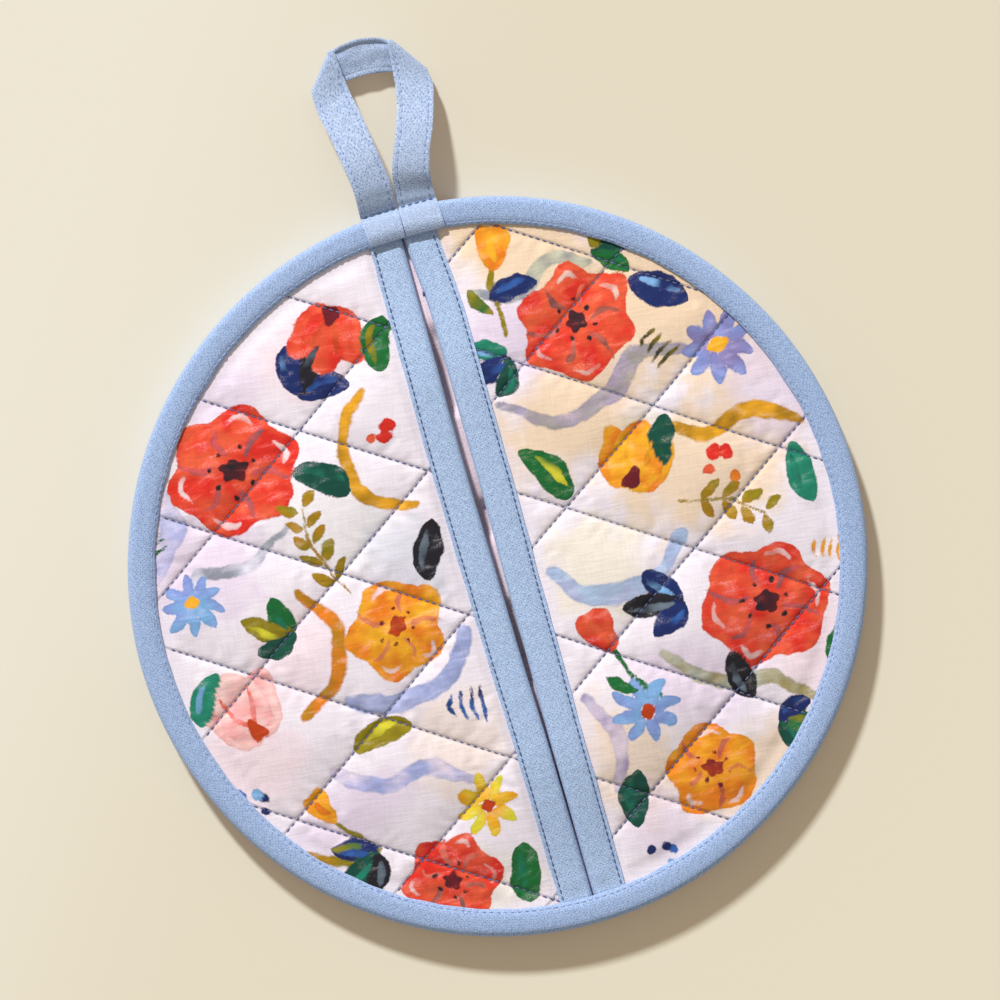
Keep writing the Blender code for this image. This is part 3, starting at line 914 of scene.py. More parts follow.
class Print:
    """Colour layers of the painted cotton, worked out at each corner of a cloth, in millimetres."""

    def __init__(self, item):
        self.item = item
        places = np.empty(len(item.data.vertices) * 3, np.float32)
        item.data.vertices.foreach_get("co", places)
        flat = places.reshape(-1, 3)[:, :2].astype(float) / MM
        shift = 1.5 * np.stack([noise_field(flat, 9.0, 1.7), noise_field(flat, 9.0, 5.2)], axis=1)
        shift += 0.5 * np.stack([noise_field(flat, 2.8, 2.3), noise_field(flat, 2.8, 6.1)], axis=1)
        self.places = flat + shift
        self.blotches = np.clip(0.5 + noise_field(flat, 6.5, 9.4) + 0.5 * noise_field(flat, 2.6, 4.4), 0, 1)
        count = len(self.places)
        self.ground = np.tile(np.array(GROUND[:3]), (count, 1))
        self.colours = [np.tile(np.array(GROUND[:3]), (count, 1)) for _ in range(PAINT_LAYERS)]
        self.reaches = [np.full(count, REACH_MM) for _ in range(PAINT_LAYERS)]

    def local(self, x, y, angle, reach):
        """Which corners lie near a place, and their places in a frame turned by angle degrees."""
        offset = self.places - (x, y)
        near = np.hypot(offset[:, 0], offset[:, 1]) < reach
        turn = math.radians(angle)
        u = offset[near, 0] * math.cos(turn) + offset[near, 1] * math.sin(turn)
        v = offset[near, 1] * math.cos(turn) - offset[near, 0] * math.sin(turn)
        return near, u, v

    def wash(self, x, y, width, height, angle, colour, strength):
        """A soft patch of thin colour on the ground."""
        near, u, v = self.local(x, y, angle, max(width, height))
        radius = np.hypot(u / width, v / height) * 2 + 0.35 * (self.blotches[near] - 0.5)
        share = np.clip((1.2 - radius) / 0.7, 0, 1)
        share = (share * share * (3 - 2 * share) * strength)[:, None]
        self.ground[near] = self.ground[near] * (1 - share) + np.array(colour[:3]) * share

    def paint(self, layer, colour, near, distance, tone=None, thin=0.0):
        """Puts a shape on a layer, blotched with its second tone. A thin one lets the ground through."""
        old = self.reaches[layer][near]
        taken = (distance < old) | (distance < 0)
        index = np.flatnonzero(near)[taken]
        self.reaches[layer][index] = np.minimum(distance[taken], REACH_MM)
        share = self.blotches[index][:, None]
        painted = np.array(colour[:3]) * (1 - share) + np.array((tone or colour)[:3]) * share
        self.colours[layer][index] = painted * (1 - thin) + self.ground[index] * thin

    def blob(self, layer, x, y, width, height, angle, colour, lobes=0, depth=0.0, turn=0.0, **finish):
        """A round or lobed patch."""
        near, u, v = self.local(x, y, angle, max(width, height) + REACH_MM)
        across = np.hypot(u / width, v / height) * 2
        edge = 1 + depth * np.cos(lobes * np.arctan2(v / height, u / width) + turn)
        self.paint(layer, colour, near, (across - edge) * min(width, height) / 2, **finish)

    def leaf(self, layer, x, y, length, width, angle, colour, blunt=0.8, **finish):
        """A leaf with two pointed ends."""
        near, u, v = self.local(x, y, angle, length + REACH_MM)
        share = np.clip(1 - (2 * u / length) ** 2, 0, 1)
        inside = np.abs(v - 0.06 * length * share) - width / 2 * share**blunt
        past = np.hypot(np.maximum(np.abs(u) - length / 2, 0), v)
        distance = np.where(np.abs(u) < length / 2, inside, past)
        self.paint(layer, colour, near, distance, **finish)

    def stroke(self, layer, points, width, colour, taper=0.5, **finish):
        """A brush stroke along a smooth curve, swelling and thinning as the brush is pressed."""
        path = np.array(smooth_rows(points, 14))
        middle = path.mean(axis=0)
        reach = np.hypot(*(path - middle).T).max() + width + REACH_MM
        near, u, v = self.local(middle[0], middle[1], 0, reach)
        distance = np.full(len(u), 1e3)
        for index, (px, py) in enumerate(path - middle):
            share = index / (len(path) - 1)
            press = 1 - taper * abs(2 * share - 1) ** 2.2
            press *= 1 + 0.30 * noise.noise(Vector((4.5 * share, width, middle[0])))
            distance = np.minimum(distance, np.hypot(u - px, v - py) - width / 2 * press)
        self.paint(layer, colour, near, distance, **finish)

    def store(self):
        mesh = self.item.data
        names = [GROUND_NAME] + [LAYER_NAME.format(layer) for layer in range(PAINT_LAYERS)]
        colours = [self.ground, *self.colours]
        reaches = [np.zeros(len(self.places)), *self.reaches]
        for name, colour, reach in zip(names, colours, reaches):
            attribute = mesh.color_attributes.new(name, "FLOAT_COLOR", "POINT")
            alpha = np.clip(0.5 + reach / REACH_MM, 0, 1)[:, None]
            attribute.data.foreach_set("color", np.hstack([colour, alpha]).astype(np.float32).ravel())

    # Motifs

    def bloom(self, x, y, size, petal, tone, shade, angle, petals, eye=INK):
        """A full flower: a lobed patch, brush strokes that part its petals, light edges and a dotted eye."""
        self.blob(1, x, y, size, 0.93 * size, angle, petal, petals, 0.085, 0.6, tone=tone)
        for number in range(petals):
            turn = angle + 360 * (number + 0.35) / petals
            stretch = 1 + 0.16 * math.sin(2.3 * number + x)
            parting = polar_path(x, y, size, ((0.13, turn), (0.27, turn + 13), (0.40 * stretch, turn + 4)))
            self.stroke(2, parting, 0.05 * size, shade, 0.85, tone=petal, thin=0.1)
            if number % 3 != 1:
                light = polar_path(x, y, size, ((0.39, turn + 17), (0.43, turn + 33), (0.38, turn + 49)))
                self.stroke(2, light, 0.045 * size, BLUSH, 0.9, tone=tone, thin=0.25)
        self.blob(3, x, y, 0.20 * size, 0.17 * size, angle, eye, 5, 0.16, tone=shade)
        spot = 0.035 * size + 0.25
        for number in range(7):
            place = polar(x, y, (0.165 + 0.02 * (number % 2)) * size, angle + 51 * number)
            self.blob(3, *place, spot, spot, 0, eye)

    def cup(self, x, y, size, petal, tone, shade, angle, eye):
        """A flower seen from its side: three broad petals that overlap, over a small dark foot."""
        for lean, reach, wide in ((-38, 0.25, 0.52), (38, 0.25, 0.50), (0, 0.30, 0.60)):
            place = polar(x, y, reach * size, angle + lean)
            colour, second = (tone, petal) if lean == 0 else (petal, tone)
            self.blob(1, *place, 0.74 * size, wide * size, angle + lean, colour, 3, 0.09, lean, tone=second)
        for lean in (-20, 20):
            turn = angle + lean
            rib = polar_path(x, y, size, ((0.02, turn), (0.24, turn + 0.4 * lean), (0.50, turn - 0.1 * lean)))
            self.stroke(2, rib, 0.06 * size, shade, 0.8, tone=petal)
        self.blob(3, x, y, 0.24 * size, 0.18 * size, angle, eye, 3, 0.2)

    def daisy(self, x, y, size, petal, tone, centre, angle, petals):
        """A flower of narrow petals round a lobed middle."""
        for number in range(petals):
            turn = angle + 360 * number / petals
            place = polar(x, y, (0.30 + 0.02 * math.sin(3.0 * number)) * size, turn)
            self.leaf(1, *place, 0.42 * size, 0.19 * size, turn + 8, petal, 0.55, tone=tone)
        self.blob(3, x, y, 0.24 * size, 0.21 * size, angle, centre, 4, 0.1)

    def sprig(self, x, y, length, angle, leaf, stem, pairs, size):
        """A bent stem with leaves in pairs."""
        turn = math.radians(angle)
        ux, uy = math.cos(turn), math.sin(turn)
        bow = 0.12 * length
        path = []
        for share, push in ((0, 0), (0.35, 0.8), (0.7, 1.0), (1, 0.3)):
            run, side = share * length, push * bow
            path.append((x + run * ux - side * uy, y + run * uy + side * ux))
        self.stroke(3, path, 1.1, stem, 0.4, tone=leaf)
        for number in range(pairs):
            share = (number + 1) / (pairs + 0.4)
            push = bow * math.sin(math.pi * min(1, share * 0.85))
            cx = x + share * length * ux - push * uy
            cy = y + share * length * uy + push * ux
            for side in (-1, 1):
                lean = angle + side * (50 + 9 * math.sin(5 * number + side))
                place = polar(cx, cy, 0.58 * size, lean)
                self.leaf(2, *place, size * (1.15 - 0.35 * share), 0.46 * size, lean, leaf, tone=stem)

    def bud(self, x, y, size, angle, petal, tone, stem):
        """A closed bud on a stem, with a small leaf."""
        turn = math.radians(angle)
        ux, uy = math.cos(turn), math.sin(turn)
        foot = (x - 1.8 * size * ux + 0.25 * size * uy, y - 1.8 * size * uy - 0.25 * size * ux)
        self.stroke(1, [foot, (x - 0.8 * size * ux, y - 0.8 * size * uy), (x, y)], 0.14 * size, stem, 0.3)
        place = (x - 1.1 * size * ux - 0.30 * size * uy, y - 1.1 * size * uy + 0.30 * size * ux)
        self.leaf(2, *place, 0.8 * size, 0.30 * size, angle + 40, stem, tone=LEAF)
        place = (x + 0.18 * size * ux, y + 0.18 * size * uy)
        self.blob(2, *place, 1.05 * size, 0.80 * size, angle, petal, 3, 0.14, 3.1, tone=tone)
        self.leaf(3, x + 0.10 * size * ux, y + 0.10 * size * uy, 0.62 * size, 0.22 * size, angle + 12, tone)

    def broad_leaf(self, x, y, length, width, angle, colour, light):
        """A broad leaf, lighter along one half, with a thin rib."""
        self.leaf(1, x, y, length, width, angle, colour, 0.62, tone=colour)
        turn = math.radians(angle)
        side = 0.17 * width
        ox, oy = -side * math.sin(turn), side * math.cos(turn)
        self.leaf(2, x + ox, y + oy, 0.70 * length, 0.30 * width, angle + 3, light, tone=colour)

    def fan(self, x, y, size, angle, colours):
        """Three leaves that spread from one foot."""
        for lean, stretch, (colour, light) in zip((-42, 2, 46), (0.9, 1.1, 0.85), colours):
            place = polar(x, y, 0.52 * size * stretch, angle + lean)
            self.broad_leaf(*place, size * stretch, 0.46 * size, angle + lean, colour, light)

    def spray(self, x, y, size, angle, colour, tone):
        """A few loose dashes side by side."""
        turn = math.radians(angle)
        for number in range(4):
            side = (number - 1.5) * 0.30 * size
            ox, oy = x - side * math.sin(turn), y + side * math.cos(turn)
            reach = size * (0.5 - 0.06 * number)
            start = (ox - reach * math.cos(turn), oy - reach * math.sin(turn))
            bow = (ox - 0.1 * size * math.sin(turn), oy + 0.1 * size * math.cos(turn))
            end = (ox + reach * math.cos(turn + 0.2), oy + reach * math.sin(turn + 0.2))
            self.stroke(2, [start, bow, end], 0.13 * size, colour, 0.7, tone=tone)

    def berries(self, x, y, size, colours, spread_mm, seed):
        for number, colour in enumerate(colours):
            turn = seed + 2.4 * number
            reach = spread_mm * (0.35 + 0.65 * ((number * 0.618 + seed) % 1))
            width = size * (0.75 + 0.5 * ((number * 0.41 + seed) % 1))
            self.blob(3, x + reach * math.cos(turn), y + reach * math.sin(turn), width, width, 0, colour)


def curve_between(before, start, end, after, share):
    """A point on the smooth curve through four rows of numbers, between the middle two."""
    values = []
    for a, b, c, d in zip(before, start, end, after):
        slope = (c - a) / 2
        next_slope = (d - b) / 2
        bend = 3 * (c - b) - 2 * slope - next_slope
        twist = 2 * (b - c) + slope + next_slope
        values.append(b + share * (slope + share * (bend + share * twist)))
    return values


def smooth_rows(keys, steps):
    """Rows of numbers on a smooth curve through the keys."""
    rows = [list(keys[0])]
    for index in range(len(keys) - 1):
        before = keys[max(0, index - 1)]
        after = keys[min(len(keys) - 1, index + 2)]
        for step in range(1, steps + 1):
            rows.append(curve_between(before, keys[index], keys[index + 1], after, step / steps))
    return rows


def paint_ground(cloth):
    """Thin washes under the motifs."""
    cloth.wash(34, 88, 60, 34, -20, PEACH, 1.0)
    cloth.wash(70, 62, 76, 50, -35, PEACH, 1.0)
    cloth.wash(36, 38, 60, 36, 25, PEACH, 0.95)
    cloth.wash(66, 12, 64, 42, 10, PEACH, 0.9)
    cloth.wash(22, -66, 30, 44, 10, PEACH, 0.7)
    cloth.wash(28, -8, 34, 34, 60, CREAM, 0.9)
    cloth.wash(84, -50, 34, 40, 10, ROSE, 0.7)
    cloth.wash(48, -48, 46, 26, -15, LILAC, 0.75)
    cloth.wash(60, -78, 44, 26, 20, PEACH, 0.8)
    cloth.wash(20, 62, 26, 30, 0, LILAC, 0.9)
    cloth.wash(56, 88, 36, 14, -30, LILAC, 0.8)
    cloth.wash(92, 28, 26, 38, 0, LILAC, 0.7)
    cloth.wash(24, -84, 24, 26, 0, LILAC, 0.6)
    cloth.wash(52, 26, 24, 16, 30, SAGE, 0.35)
    cloth.wash(-36, 74, 40, 26, 20, ROSE, 0.7)
    cloth.wash(-82, 22, 40, 34, 0, LILAC, 0.8)
    cloth.wash(-40, 24, 44, 28, -30, WHITE, 0.6)
    cloth.wash(-24, 8, 26, 34, 15, MIST, 0.7)
    cloth.wash(-62, -8, 34, 26, 20, ROSE, 0.6)
    cloth.wash(-84, -34, 34, 34, 0, ROSE, 0.7)
    cloth.wash(-26, -46, 30, 34, 0, PEACH, 0.4)
    cloth.wash(-60, -58, 40, 24, 20, LILAC, 0.8)
    cloth.wash(-30, -88, 40, 22, 0, CREAM, 0.6)
    cloth.wash(-66, 66, 34, 22, 40, LILAC, 0.7)


def paint_left(cloth):
    """Motifs left of the slit, from the loop downwards."""
    cloth.stroke(0, [(-99, 24), (-88, 36), (-90, 52)], 6.5, PERIWINKLE, tone=LILAC, thin=0.35)
    cloth.stroke(0, [(-24, 60), (-34, 46), (-30, 30), (-18, 24)], 4.2, OCHRE, tone=AMBER)
    cloth.stroke(0, [(-56, 28), (-70, 20), (-84, 22), (-93, 12)], 3.6, SLATE, tone=MIST, thin=0.2)
    cloth.stroke(0, [(-58, 8), (-50, -4), (-54, -20), (-66, -26)], 4.6, OCHRE, tone=ORANGE)
    cloth.stroke(0, [(-14, -14), (-22, -26), (-38, -30), (-52, -26)], 6.4, PERIWINKLE, tone=BLUE, thin=0.3)
    cloth.stroke(0, [(-62, -44), (-50, -52), (-36, -50), (-24, -58)], 5.4, PERIWINKLE, tone=LILAC, thin=0.2)
    cloth.stroke(0, [(-76, -66), (-64, -72), (-58, -84)], 3.6, OLIVE, tone=OCHRE)
    cloth.fan(-42, 64, 17, 40, ((NAVY, BLUE), (INK, SLATE), (NAVY, SKY)))
    cloth.cup(-27, 84, 25, CORAL, RED, RUST, 250, MAROON)
    cloth.broad_leaf(-15, 72, 16, 9, 70, LEAF, OLIVE)
    cloth.bloom(-66, 48, 38, RED, CORAL, MAROON, 12, 6)
    cloth.broad_leaf(-42, 38, 18, 9, -30, PINE, TEAL)
    cloth.daisy(-88, 14, 19, SKY, PERIWINKLE, AMBER, 10, 9)
    cloth.sprig(-43, 4, 30, 100, OLIVE, OCHRE, 5, 7)
    cloth.berries(-22, 46, 3.6, (RED, CORAL, RED), 4, 0.8)
    cloth.broad_leaf(-17, 10, 18, 9, 66, INK, SLATE)
    cloth.bloom(-33, -9, 29, ORANGE, AMBER, RUST, 40, 5, MAROON)
    cloth.fan(-62, -2, 14, 150, ((LEAF, TEAL), (OLIVE, LEMON), (PINE, LEAF)))
    cloth.cup(-80, -26, 27, PINK, BLUSH, CORAL, 110, RUST)
    cloth.broad_leaf(-92, -14, 16, 8, 60, TEAL, SKY)
    cloth.spray(-19, -36, 10, 80, NAVY, BLUE)
    cloth.broad_leaf(-46, -38, 19, 8, 12, OLIVE, LEMON)
    cloth.bud(-68, -54, 11, 120, AMBER, ORANGE, OLIVE)
    cloth.daisy(-22, -66, 19, AMBER, LEMON, RUST, 0, 8)
    cloth.fan(-56, -70, 15, 200, ((NAVY, BLUE), (PINE, TEAL), (INK, SLATE)))
    cloth.bloom(-38, -84, 27, CORAL, RED, MAROON, 0, 6, INK)
    cloth.broad_leaf(-16, -88, 18, 9, 80, LEAF, TEAL)
    cloth.berries(-86, -46, 3.2, (NAVY, BLUE, NAVY, SKY), 5, 0.3)
    cloth.spray(-94, 34, 8, 20, PINE, LEAF)


def paint_right(cloth):
    """Motifs right of the slit, from the loop downwards."""
    cloth.stroke(0, [(16, 78), (28, 74), (38, 82), (50, 78)], 4.4, SAGE, tone=SLATE, thin=0.2)
    cloth.stroke(0, [(14, 44), (28, 36), (44, 38), (56, 48), (70, 46)], 5.2, SLATE, tone=VIOLET, thin=0.3)
    cloth.stroke(0, [(58, 26), (70, 20), (84, 24), (96, 16)], 5.0, OCHRE, tone=AMBER)
    cloth.stroke(0, [(14, -6), (26, -16), (42, -16), (54, -6)], 6.0, PERIWINKLE, tone=SKY, thin=0.3)
    cloth.stroke(0, [(40, -38), (52, -50), (68, -54), (84, -66)], 5.0, SAGE, tone=OLIVE, thin=0.15)
    cloth.stroke(0, [(14, -44), (20, -56), (16, -72)], 4.4, VIOLET, tone=LILAC, thin=0.2)
    cloth.bud(24, 88, 13, 75, ORANGE, AMBER, OLIVE)
    cloth.fan(52, 82, 14, -10, ((LEAF, TEAL), (PINE, LEAF), (OLIVE, LEMON)))
    cloth.bloom(42, 62, 34, CORAL, RED, MAROON, 33, 6)
    cloth.fan(21, 58, 15, 195, ((TEAL, SKY), (NAVY, BLUE), (PINE, TEAL)))
    cloth.broad_leaf(67, 64, 19, 10, -35, NAVY, SKY)
    cloth.daisy(80, 44, 22, PERIWINKLE, VIOLET, AMBER, 12, 9)
    cloth.spray(63, 48, 10, 30, INK, OLIVE)
    cloth.cup(44, 14, 25, AMBER, ORANGE, RUST, 60, MAROON)
    cloth.broad_leaf(21, 22, 20, 10, -60, LEAF, LEMON)
    cloth.berries(70, 10, 3.8, (RED, CORAL, ORANGE, RED), 6, 0.7)
    cloth.sprig(56, 4, 26, -28, OLIVE, OCHRE, 4, 7)
    cloth.broad_leaf(93, 2, 18, 9, 95, TEAL, PINE)
    cloth.bloom(72, -32, 37, RED, CORAL, MAROON, 5, 6)
    cloth.fan(49, -24, 16, 170, ((NAVY, SKY), (INK, SLATE), (NAVY, BLUE)))
    cloth.broad_leaf(91, -50, 17, 9, 50, LEAF, TEAL)
    cloth.broad_leaf(60, -50, 15, 8, 100, INK, SLATE)
    cloth.broad_leaf(27, 76, 14, 7, 10, NAVY, BLUE)
    cloth.broad_leaf(57, 22, 15, 7, 70, PINE, LEAF)
    cloth.bud(24, -28, 13, 110, RED, CORAL, LEAF)
    cloth.spray(94, -22, 8, 80, AMBER, ORANGE)
    cloth.daisy(30, -52, 20, SKY, PERIWINKLE, RUST, 0, 8)
    cloth.bloom(44, -74, 27, ORANGE, AMBER, RUST, 20, 5, MAROON)
    cloth.fan(66, -66, 14, 330, ((PINE, TEAL), (LEAF, OLIVE), (NAVY, BLUE)))
    cloth.broad_leaf(20, -76, 17, 8, 75, PINE, TEAL)
    cloth.berries(24, -94, 3.0, (BLUE, NAVY, SKY, NAVY), 5, 0.2)


def print_cloth(item, *painters):
    cloth = Print(item)
    paint_ground(cloth)
    for painter in painters:
        painter(cloth)
    cloth.store()


# Quilted panels

# Folds of the pink lining along the slit: (y, how far it bulges towards the hand)
LINING_FOLDS = (
    (-0.0900, 0.0003),
    (-0.0660, 0.0002),
    (-0.0580, 0.0018),
    (-0.0370, 0.0022),
    (-0.0345, 0.0),
    (-0.0130, 0.0),
    (-0.0090, 0.0020),
    (0.0080, 0.0022),
    (0.0100, 0.0),
    (0.0180, 0.0),
    (0.0205, 0.0018),
    (0.0460, 0.0024),
    (0.0480, 0.0),
    (0.0690, 0.0),
    (0.0740, 0.0016),
    (0.0900, 0.0006),
)


def build_pocket_face(pocket, material):
    """The printed cloth of a pocket, with its pillows, puckers and soft folds."""
    item = half_moon(f"{pocket.word}_printed_face", pocket, FACE_CELL)
    print_cloth(item, paint_left if pocket.side < 0 else paint_right)
    two_sides(item, pocket.top, lambda x, y: pocket.top(x, y) - CLOTH)
    map_seams(item, pocket.crossing)
    finish_piece(item, material, "printed_cotton", f"{pocket.word}_face_cloth")


def build_pocket_wadding(pocket, material):
    item = half_moon(f"{pocket.word}_pocket_wadding", pocket, WADDING_CELL)
    reach = 0.7 * WADDING_CELL

    def top(x, y):
        low, thick = pocket.form(x, y)
        near = [(x, y), (x + reach, y), (x - reach, y), (x, y + reach), (x, y - reach)]
        cloth = min(pocket.top(*place) for place in near) - CLOTH
        return min(low + thick - WADDING_GAP, cloth - 0.5 * AIR)

    def under(x, y):
        return pocket.form(x, y)[0] + SKIN

    two_sides(item, lambda x, y: max(top(x, y), under(x, y) + CLOTH / 2), under)
    finish_piece(item, material, "wadding", f"{pocket.word}_wadding")


def build_pocket_lining(pocket, material):
    item = half_moon(f"{pocket.word}_pocket_lining", pocket, LINING_CELL)
    two_sides(item, lambda x, y: pocket.form(x, y)[0] + CLOTH, lambda x, y: pocket.form(x, y)[0])
    finish_piece(item, material, "pink_lining", f"{pocket.word}_lining_cloth")


def build_back(print_material, wadding_material, lining_material):
    """The full round back: printed cloth below, wadding, and pink lining towards the hand."""

    def relief(x, y):
        shelf = 1 - shelf_share(x, y)
        return shelf * (puckers(x, y, BACK_CROSSING, 31.0) + 0.4 * soft_folds(x, y, 31.0))

    def face_low(x, y):
        return max(0.0, back_form(x, y)[0] - relief(x, y))

    face = full_disc("back_printed_face", BACK_CELL)
    print_cloth(face, paint_left, paint_right)
    two_sides(face, lambda x, y: face_low(x, y) + CLOTH, face_low)
    map_seams(face, BACK_CROSSING)
    finish_piece(face, print_material, "printed_cotton", "back_outer_cloth")

    wadding = full_disc("back_panel_wadding", WADDING_CELL)

    def wadding_low(x, y):
        return back_form(x, y)[0] + WADDING_GAP

    def wadding_top(x, y):
        low, thick = back_form(x, y)
        return max(low + thick - WADDING_GAP, wadding_low(x, y) + CLOTH / 2)

    two_sides(wadding, wadding_top, wadding_low)
    finish_piece(wadding, wadding_material, "wadding", "back_wadding")

    lining = full_disc("back_pink_lining", LINING_CELL)

    def lining_top(x, y):
        low, thick = back_form(x, y)
        slit = math.exp(-(((x - 0.0015) / 0.010) ** 2)) * (1 - shelf_share(x, y))
        return low + thick + 0.5 * relief(x, y) + slit * along(LINING_FOLDS, y)

    two_sides(lining, lining_top, lambda x, y: lining_top(x, y) - CLOTH)
    finish_piece(lining, lining_material, "pink_lining", "back_lining_cloth")


# Tapes


def strip(name, columns, rows, place, size):
    """A grid shaped by place(u, v), with its flat size as its UV map."""
    item = grid(name, columns, rows)
    uv = item.data.uv_layers.active.data
    for loop in item.data.loops:
        corner = item.data.vertices[loop.vertex_index].co
        uv[loop.index].uv = ((corner.x + 0.5) * size[0], (corner.y + 0.5) * size[1])
    for vertex in item.data.vertices:
        vertex.co = place(vertex.co.x + 0.5, vertex.co.y + 0.5)
    return item


def step_lengths(path):
    return [math.dist(start, end) for start, end in zip(path, path[1:])]


def path_point(path, lengths, run):
    """The point at this distance along a path whose steps have these lengths."""
    for start, end, length in zip(path, path[1:], lengths):
        if run <= length:
            return [mix(a, b, run / length) for a, b in zip(start, end)]
        run -= length
    return path[-1]


def round_nose(height, steps):
    """Half a turn round the fold of a tape, from its top to its lower side, as (inset, height)."""
    points = []
    for step in range(steps + 1):
        angle = math.pi * step / steps
        points.append((0.0016 * (1 - math.sin(angle)), height * (0.5 + 0.5 * math.cos(angle))))
    return points


def build_opening_tape(pocket, material):
    """The tape folded over a pocket's straight edge, with a soft nose and a stitched outer edge."""
    top = POCKET_RIM
    section = [(TAPE_WIDTH, top), *round_nose(top, 8), (TAPE_WIDTH, 0.0)]
    seed = 40.0 + pocket.side
    length = 2 * PANEL_RADIUS
    lengths = step_lengths(section)
    width = sum(lengths)

    def place(u, v):
        y = mix(-PANEL_RADIUS, PANEL_RADIUS, v) * 0.998
        inset, height = path_point(section, lengths, u * width)
        base = POCKET_FLOOR + pocket_lift(abs(y))
        free = smooth((SHELF_RADIUS - abs(y)) / 0.004)
        if height > 0.5 * top:
            across = inset / TAPE_WIDTH
            crown = 0.00035 * math.sin(math.pi * clamp(across * 1.1))
            seam = abs(inset - (TAPE_WIDTH - TAPE_TOPSTITCH))
            pinch = 0.00025 * math.exp(-((seam / 0.0006) ** 2))
            gather = 0.00012 * wander(y, inset, 0.004, seed) * clamp(across * 1.5)
            height += free * (crown - pinch + gather)
        inset += free * 0.00022 * wander(y, 0.0, 0.009, seed + 5) * (inset > 0.5 * TAPE_WIDTH)
        x, y = pocket.point(inset, y)
        return Vector((x, y, base + height))

    item = strip(f"{pocket.word}_slit_tape", TAPE_COLUMNS, SLIT_ROWS, place, (width, length))
    if pocket.side > 0:
        edit_all(bpy.ops.mesh.flip_normals)
    apply_modifier(item, "SOLIDIFY", thickness=CLOTH, offset=-1, use_even_offset=True)
    finish_piece(item, material, "blue_tape", f"{pocket.word}_opening_binding")


def rim_section(steps):
    """The rim tape's outer side, from its upper inner edge round to its lower inner edge."""
    inner = RIM_RADIUS - RIM_WIDTH
    centre = RIM_RADIUS - RIM_ROUND
    middle = RIM_TOP / 2
    points = [(inner, RIM_TOP - 0.00085), (inner + 0.00012, RIM_TOP - 0.0006)]
    for out, drop in ((0.0005, 0.00036), (0.0011, 0.0002), (0.0018, 0.00008), (0.0028, 0.0)):
        points.append((inner + out, RIM_TOP - drop))
    for step in range(steps + 1):
        angle = math.pi / 2 - math.pi * step / steps
        out = max(0.0, math.cos(angle)) ** RIM_SQUARE
        rise = math.copysign(abs(math.sin(angle)) ** RIM_SQUARE, math.sin(angle))
        points.append((centre + RIM_ROUND * out, middle + middle * rise))
    points += [(inner + 0.0006, 0.0), (inner, 0.0004)]
    return points


def rim_bump(angle, edge):
    """Gathers of the rim tape beside its topstitch, most of them at its inner edge."""
    run = angle * RIM_RADIUS
    stitch = math.cos(2 * math.pi * run / STITCH_PITCH)
    gather = wander(run, 0.0, 0.0042, 5.0) + 0.5 * wander(run, 0.0, 0.0019, 6.0)
    return edge * (0.00016 * gather - 0.00005 * stitch)


def build_rim_tape(material):
    """The tape round the whole edge, padded by the layers in it and pinched by its topstitch."""
    section = rim_section(14)
    lengths = step_lengths(section)
    width = sum(lengths)
    length = 2 * math.pi * RIM_RADIUS
    inner = RIM_RADIUS - RIM_WIDTH

    def place(u, v):
        radius, height = path_point(section, lengths, u * width)
        angle = 2 * math.pi * v
        run = Vector((math.cos(angle), math.sin(angle)))
        edge = smooth(1 - (radius - inner) / 0.004)
        if height > 0.5 * RIM_TOP:
            seam = abs(radius - inner - RIM_TOPSTITCH)
            pinch = 0.00016 * math.exp(-((seam / 0.0005) ** 2))
            bulge = 0.00018 * math.sin(math.pi * clamp((radius - inner) / (RIM_WIDTH - RIM_ROUND * 0.4)))
            height += bulge - pinch + rim_bump(angle, edge)
            radius += 0.00034 * edge * noise.noise(Vector((run.x * 14, run.y * 14, 2.0)))
        radius += 0.0003 * (1 - edge) * noise.noise(Vector((run.x * 2.5, run.y * 2.5, 7.0)))
        return Vector((radius * run.x, radius * run.y, height))

    item = strip("rim_tape", TAPE_COLUMNS, RIM_ROWS, place, (width, length))
    edit_all(bpy.ops.mesh.remove_doubles, threshold=0.00001)
    apply_modifier(item, "SOLIDIFY", thickness=TAPE_CLOTH, offset=-1)
    finish_piece(item, material, "blue_tape", "rim_binding")


# Ribbon


def fold_rows(axis, low, outward, steps):
    """Rows round a soft fold, from its upper layer to its lower layer."""
    radius = (RIBBON + FOLD_SPACE) / 2
    rows = []
    for step in range(1, steps):
        angle = math.pi * step / steps
        push = outward * radius * math.sin(angle)
        x1, y1, x2, y2 = axis
        slide = Vector((x2 - x1, y2 - y1)).normalized() * radius * math.sin(angle)
        height = low + radius + radius * math.cos(angle)
        first = Vector((x1, y1)) + push + slide * 1.7
        last = Vector((x2, y2)) + push - slide * 0.9
        rows.append([*first, *last, height])
    return rows


def curl(past_rim):
    """How far the loop's top end lifts at this distance past the rim."""
    return TOP_CURL * smooth((past_rim - CURL_START) / CURL_LENGTH)


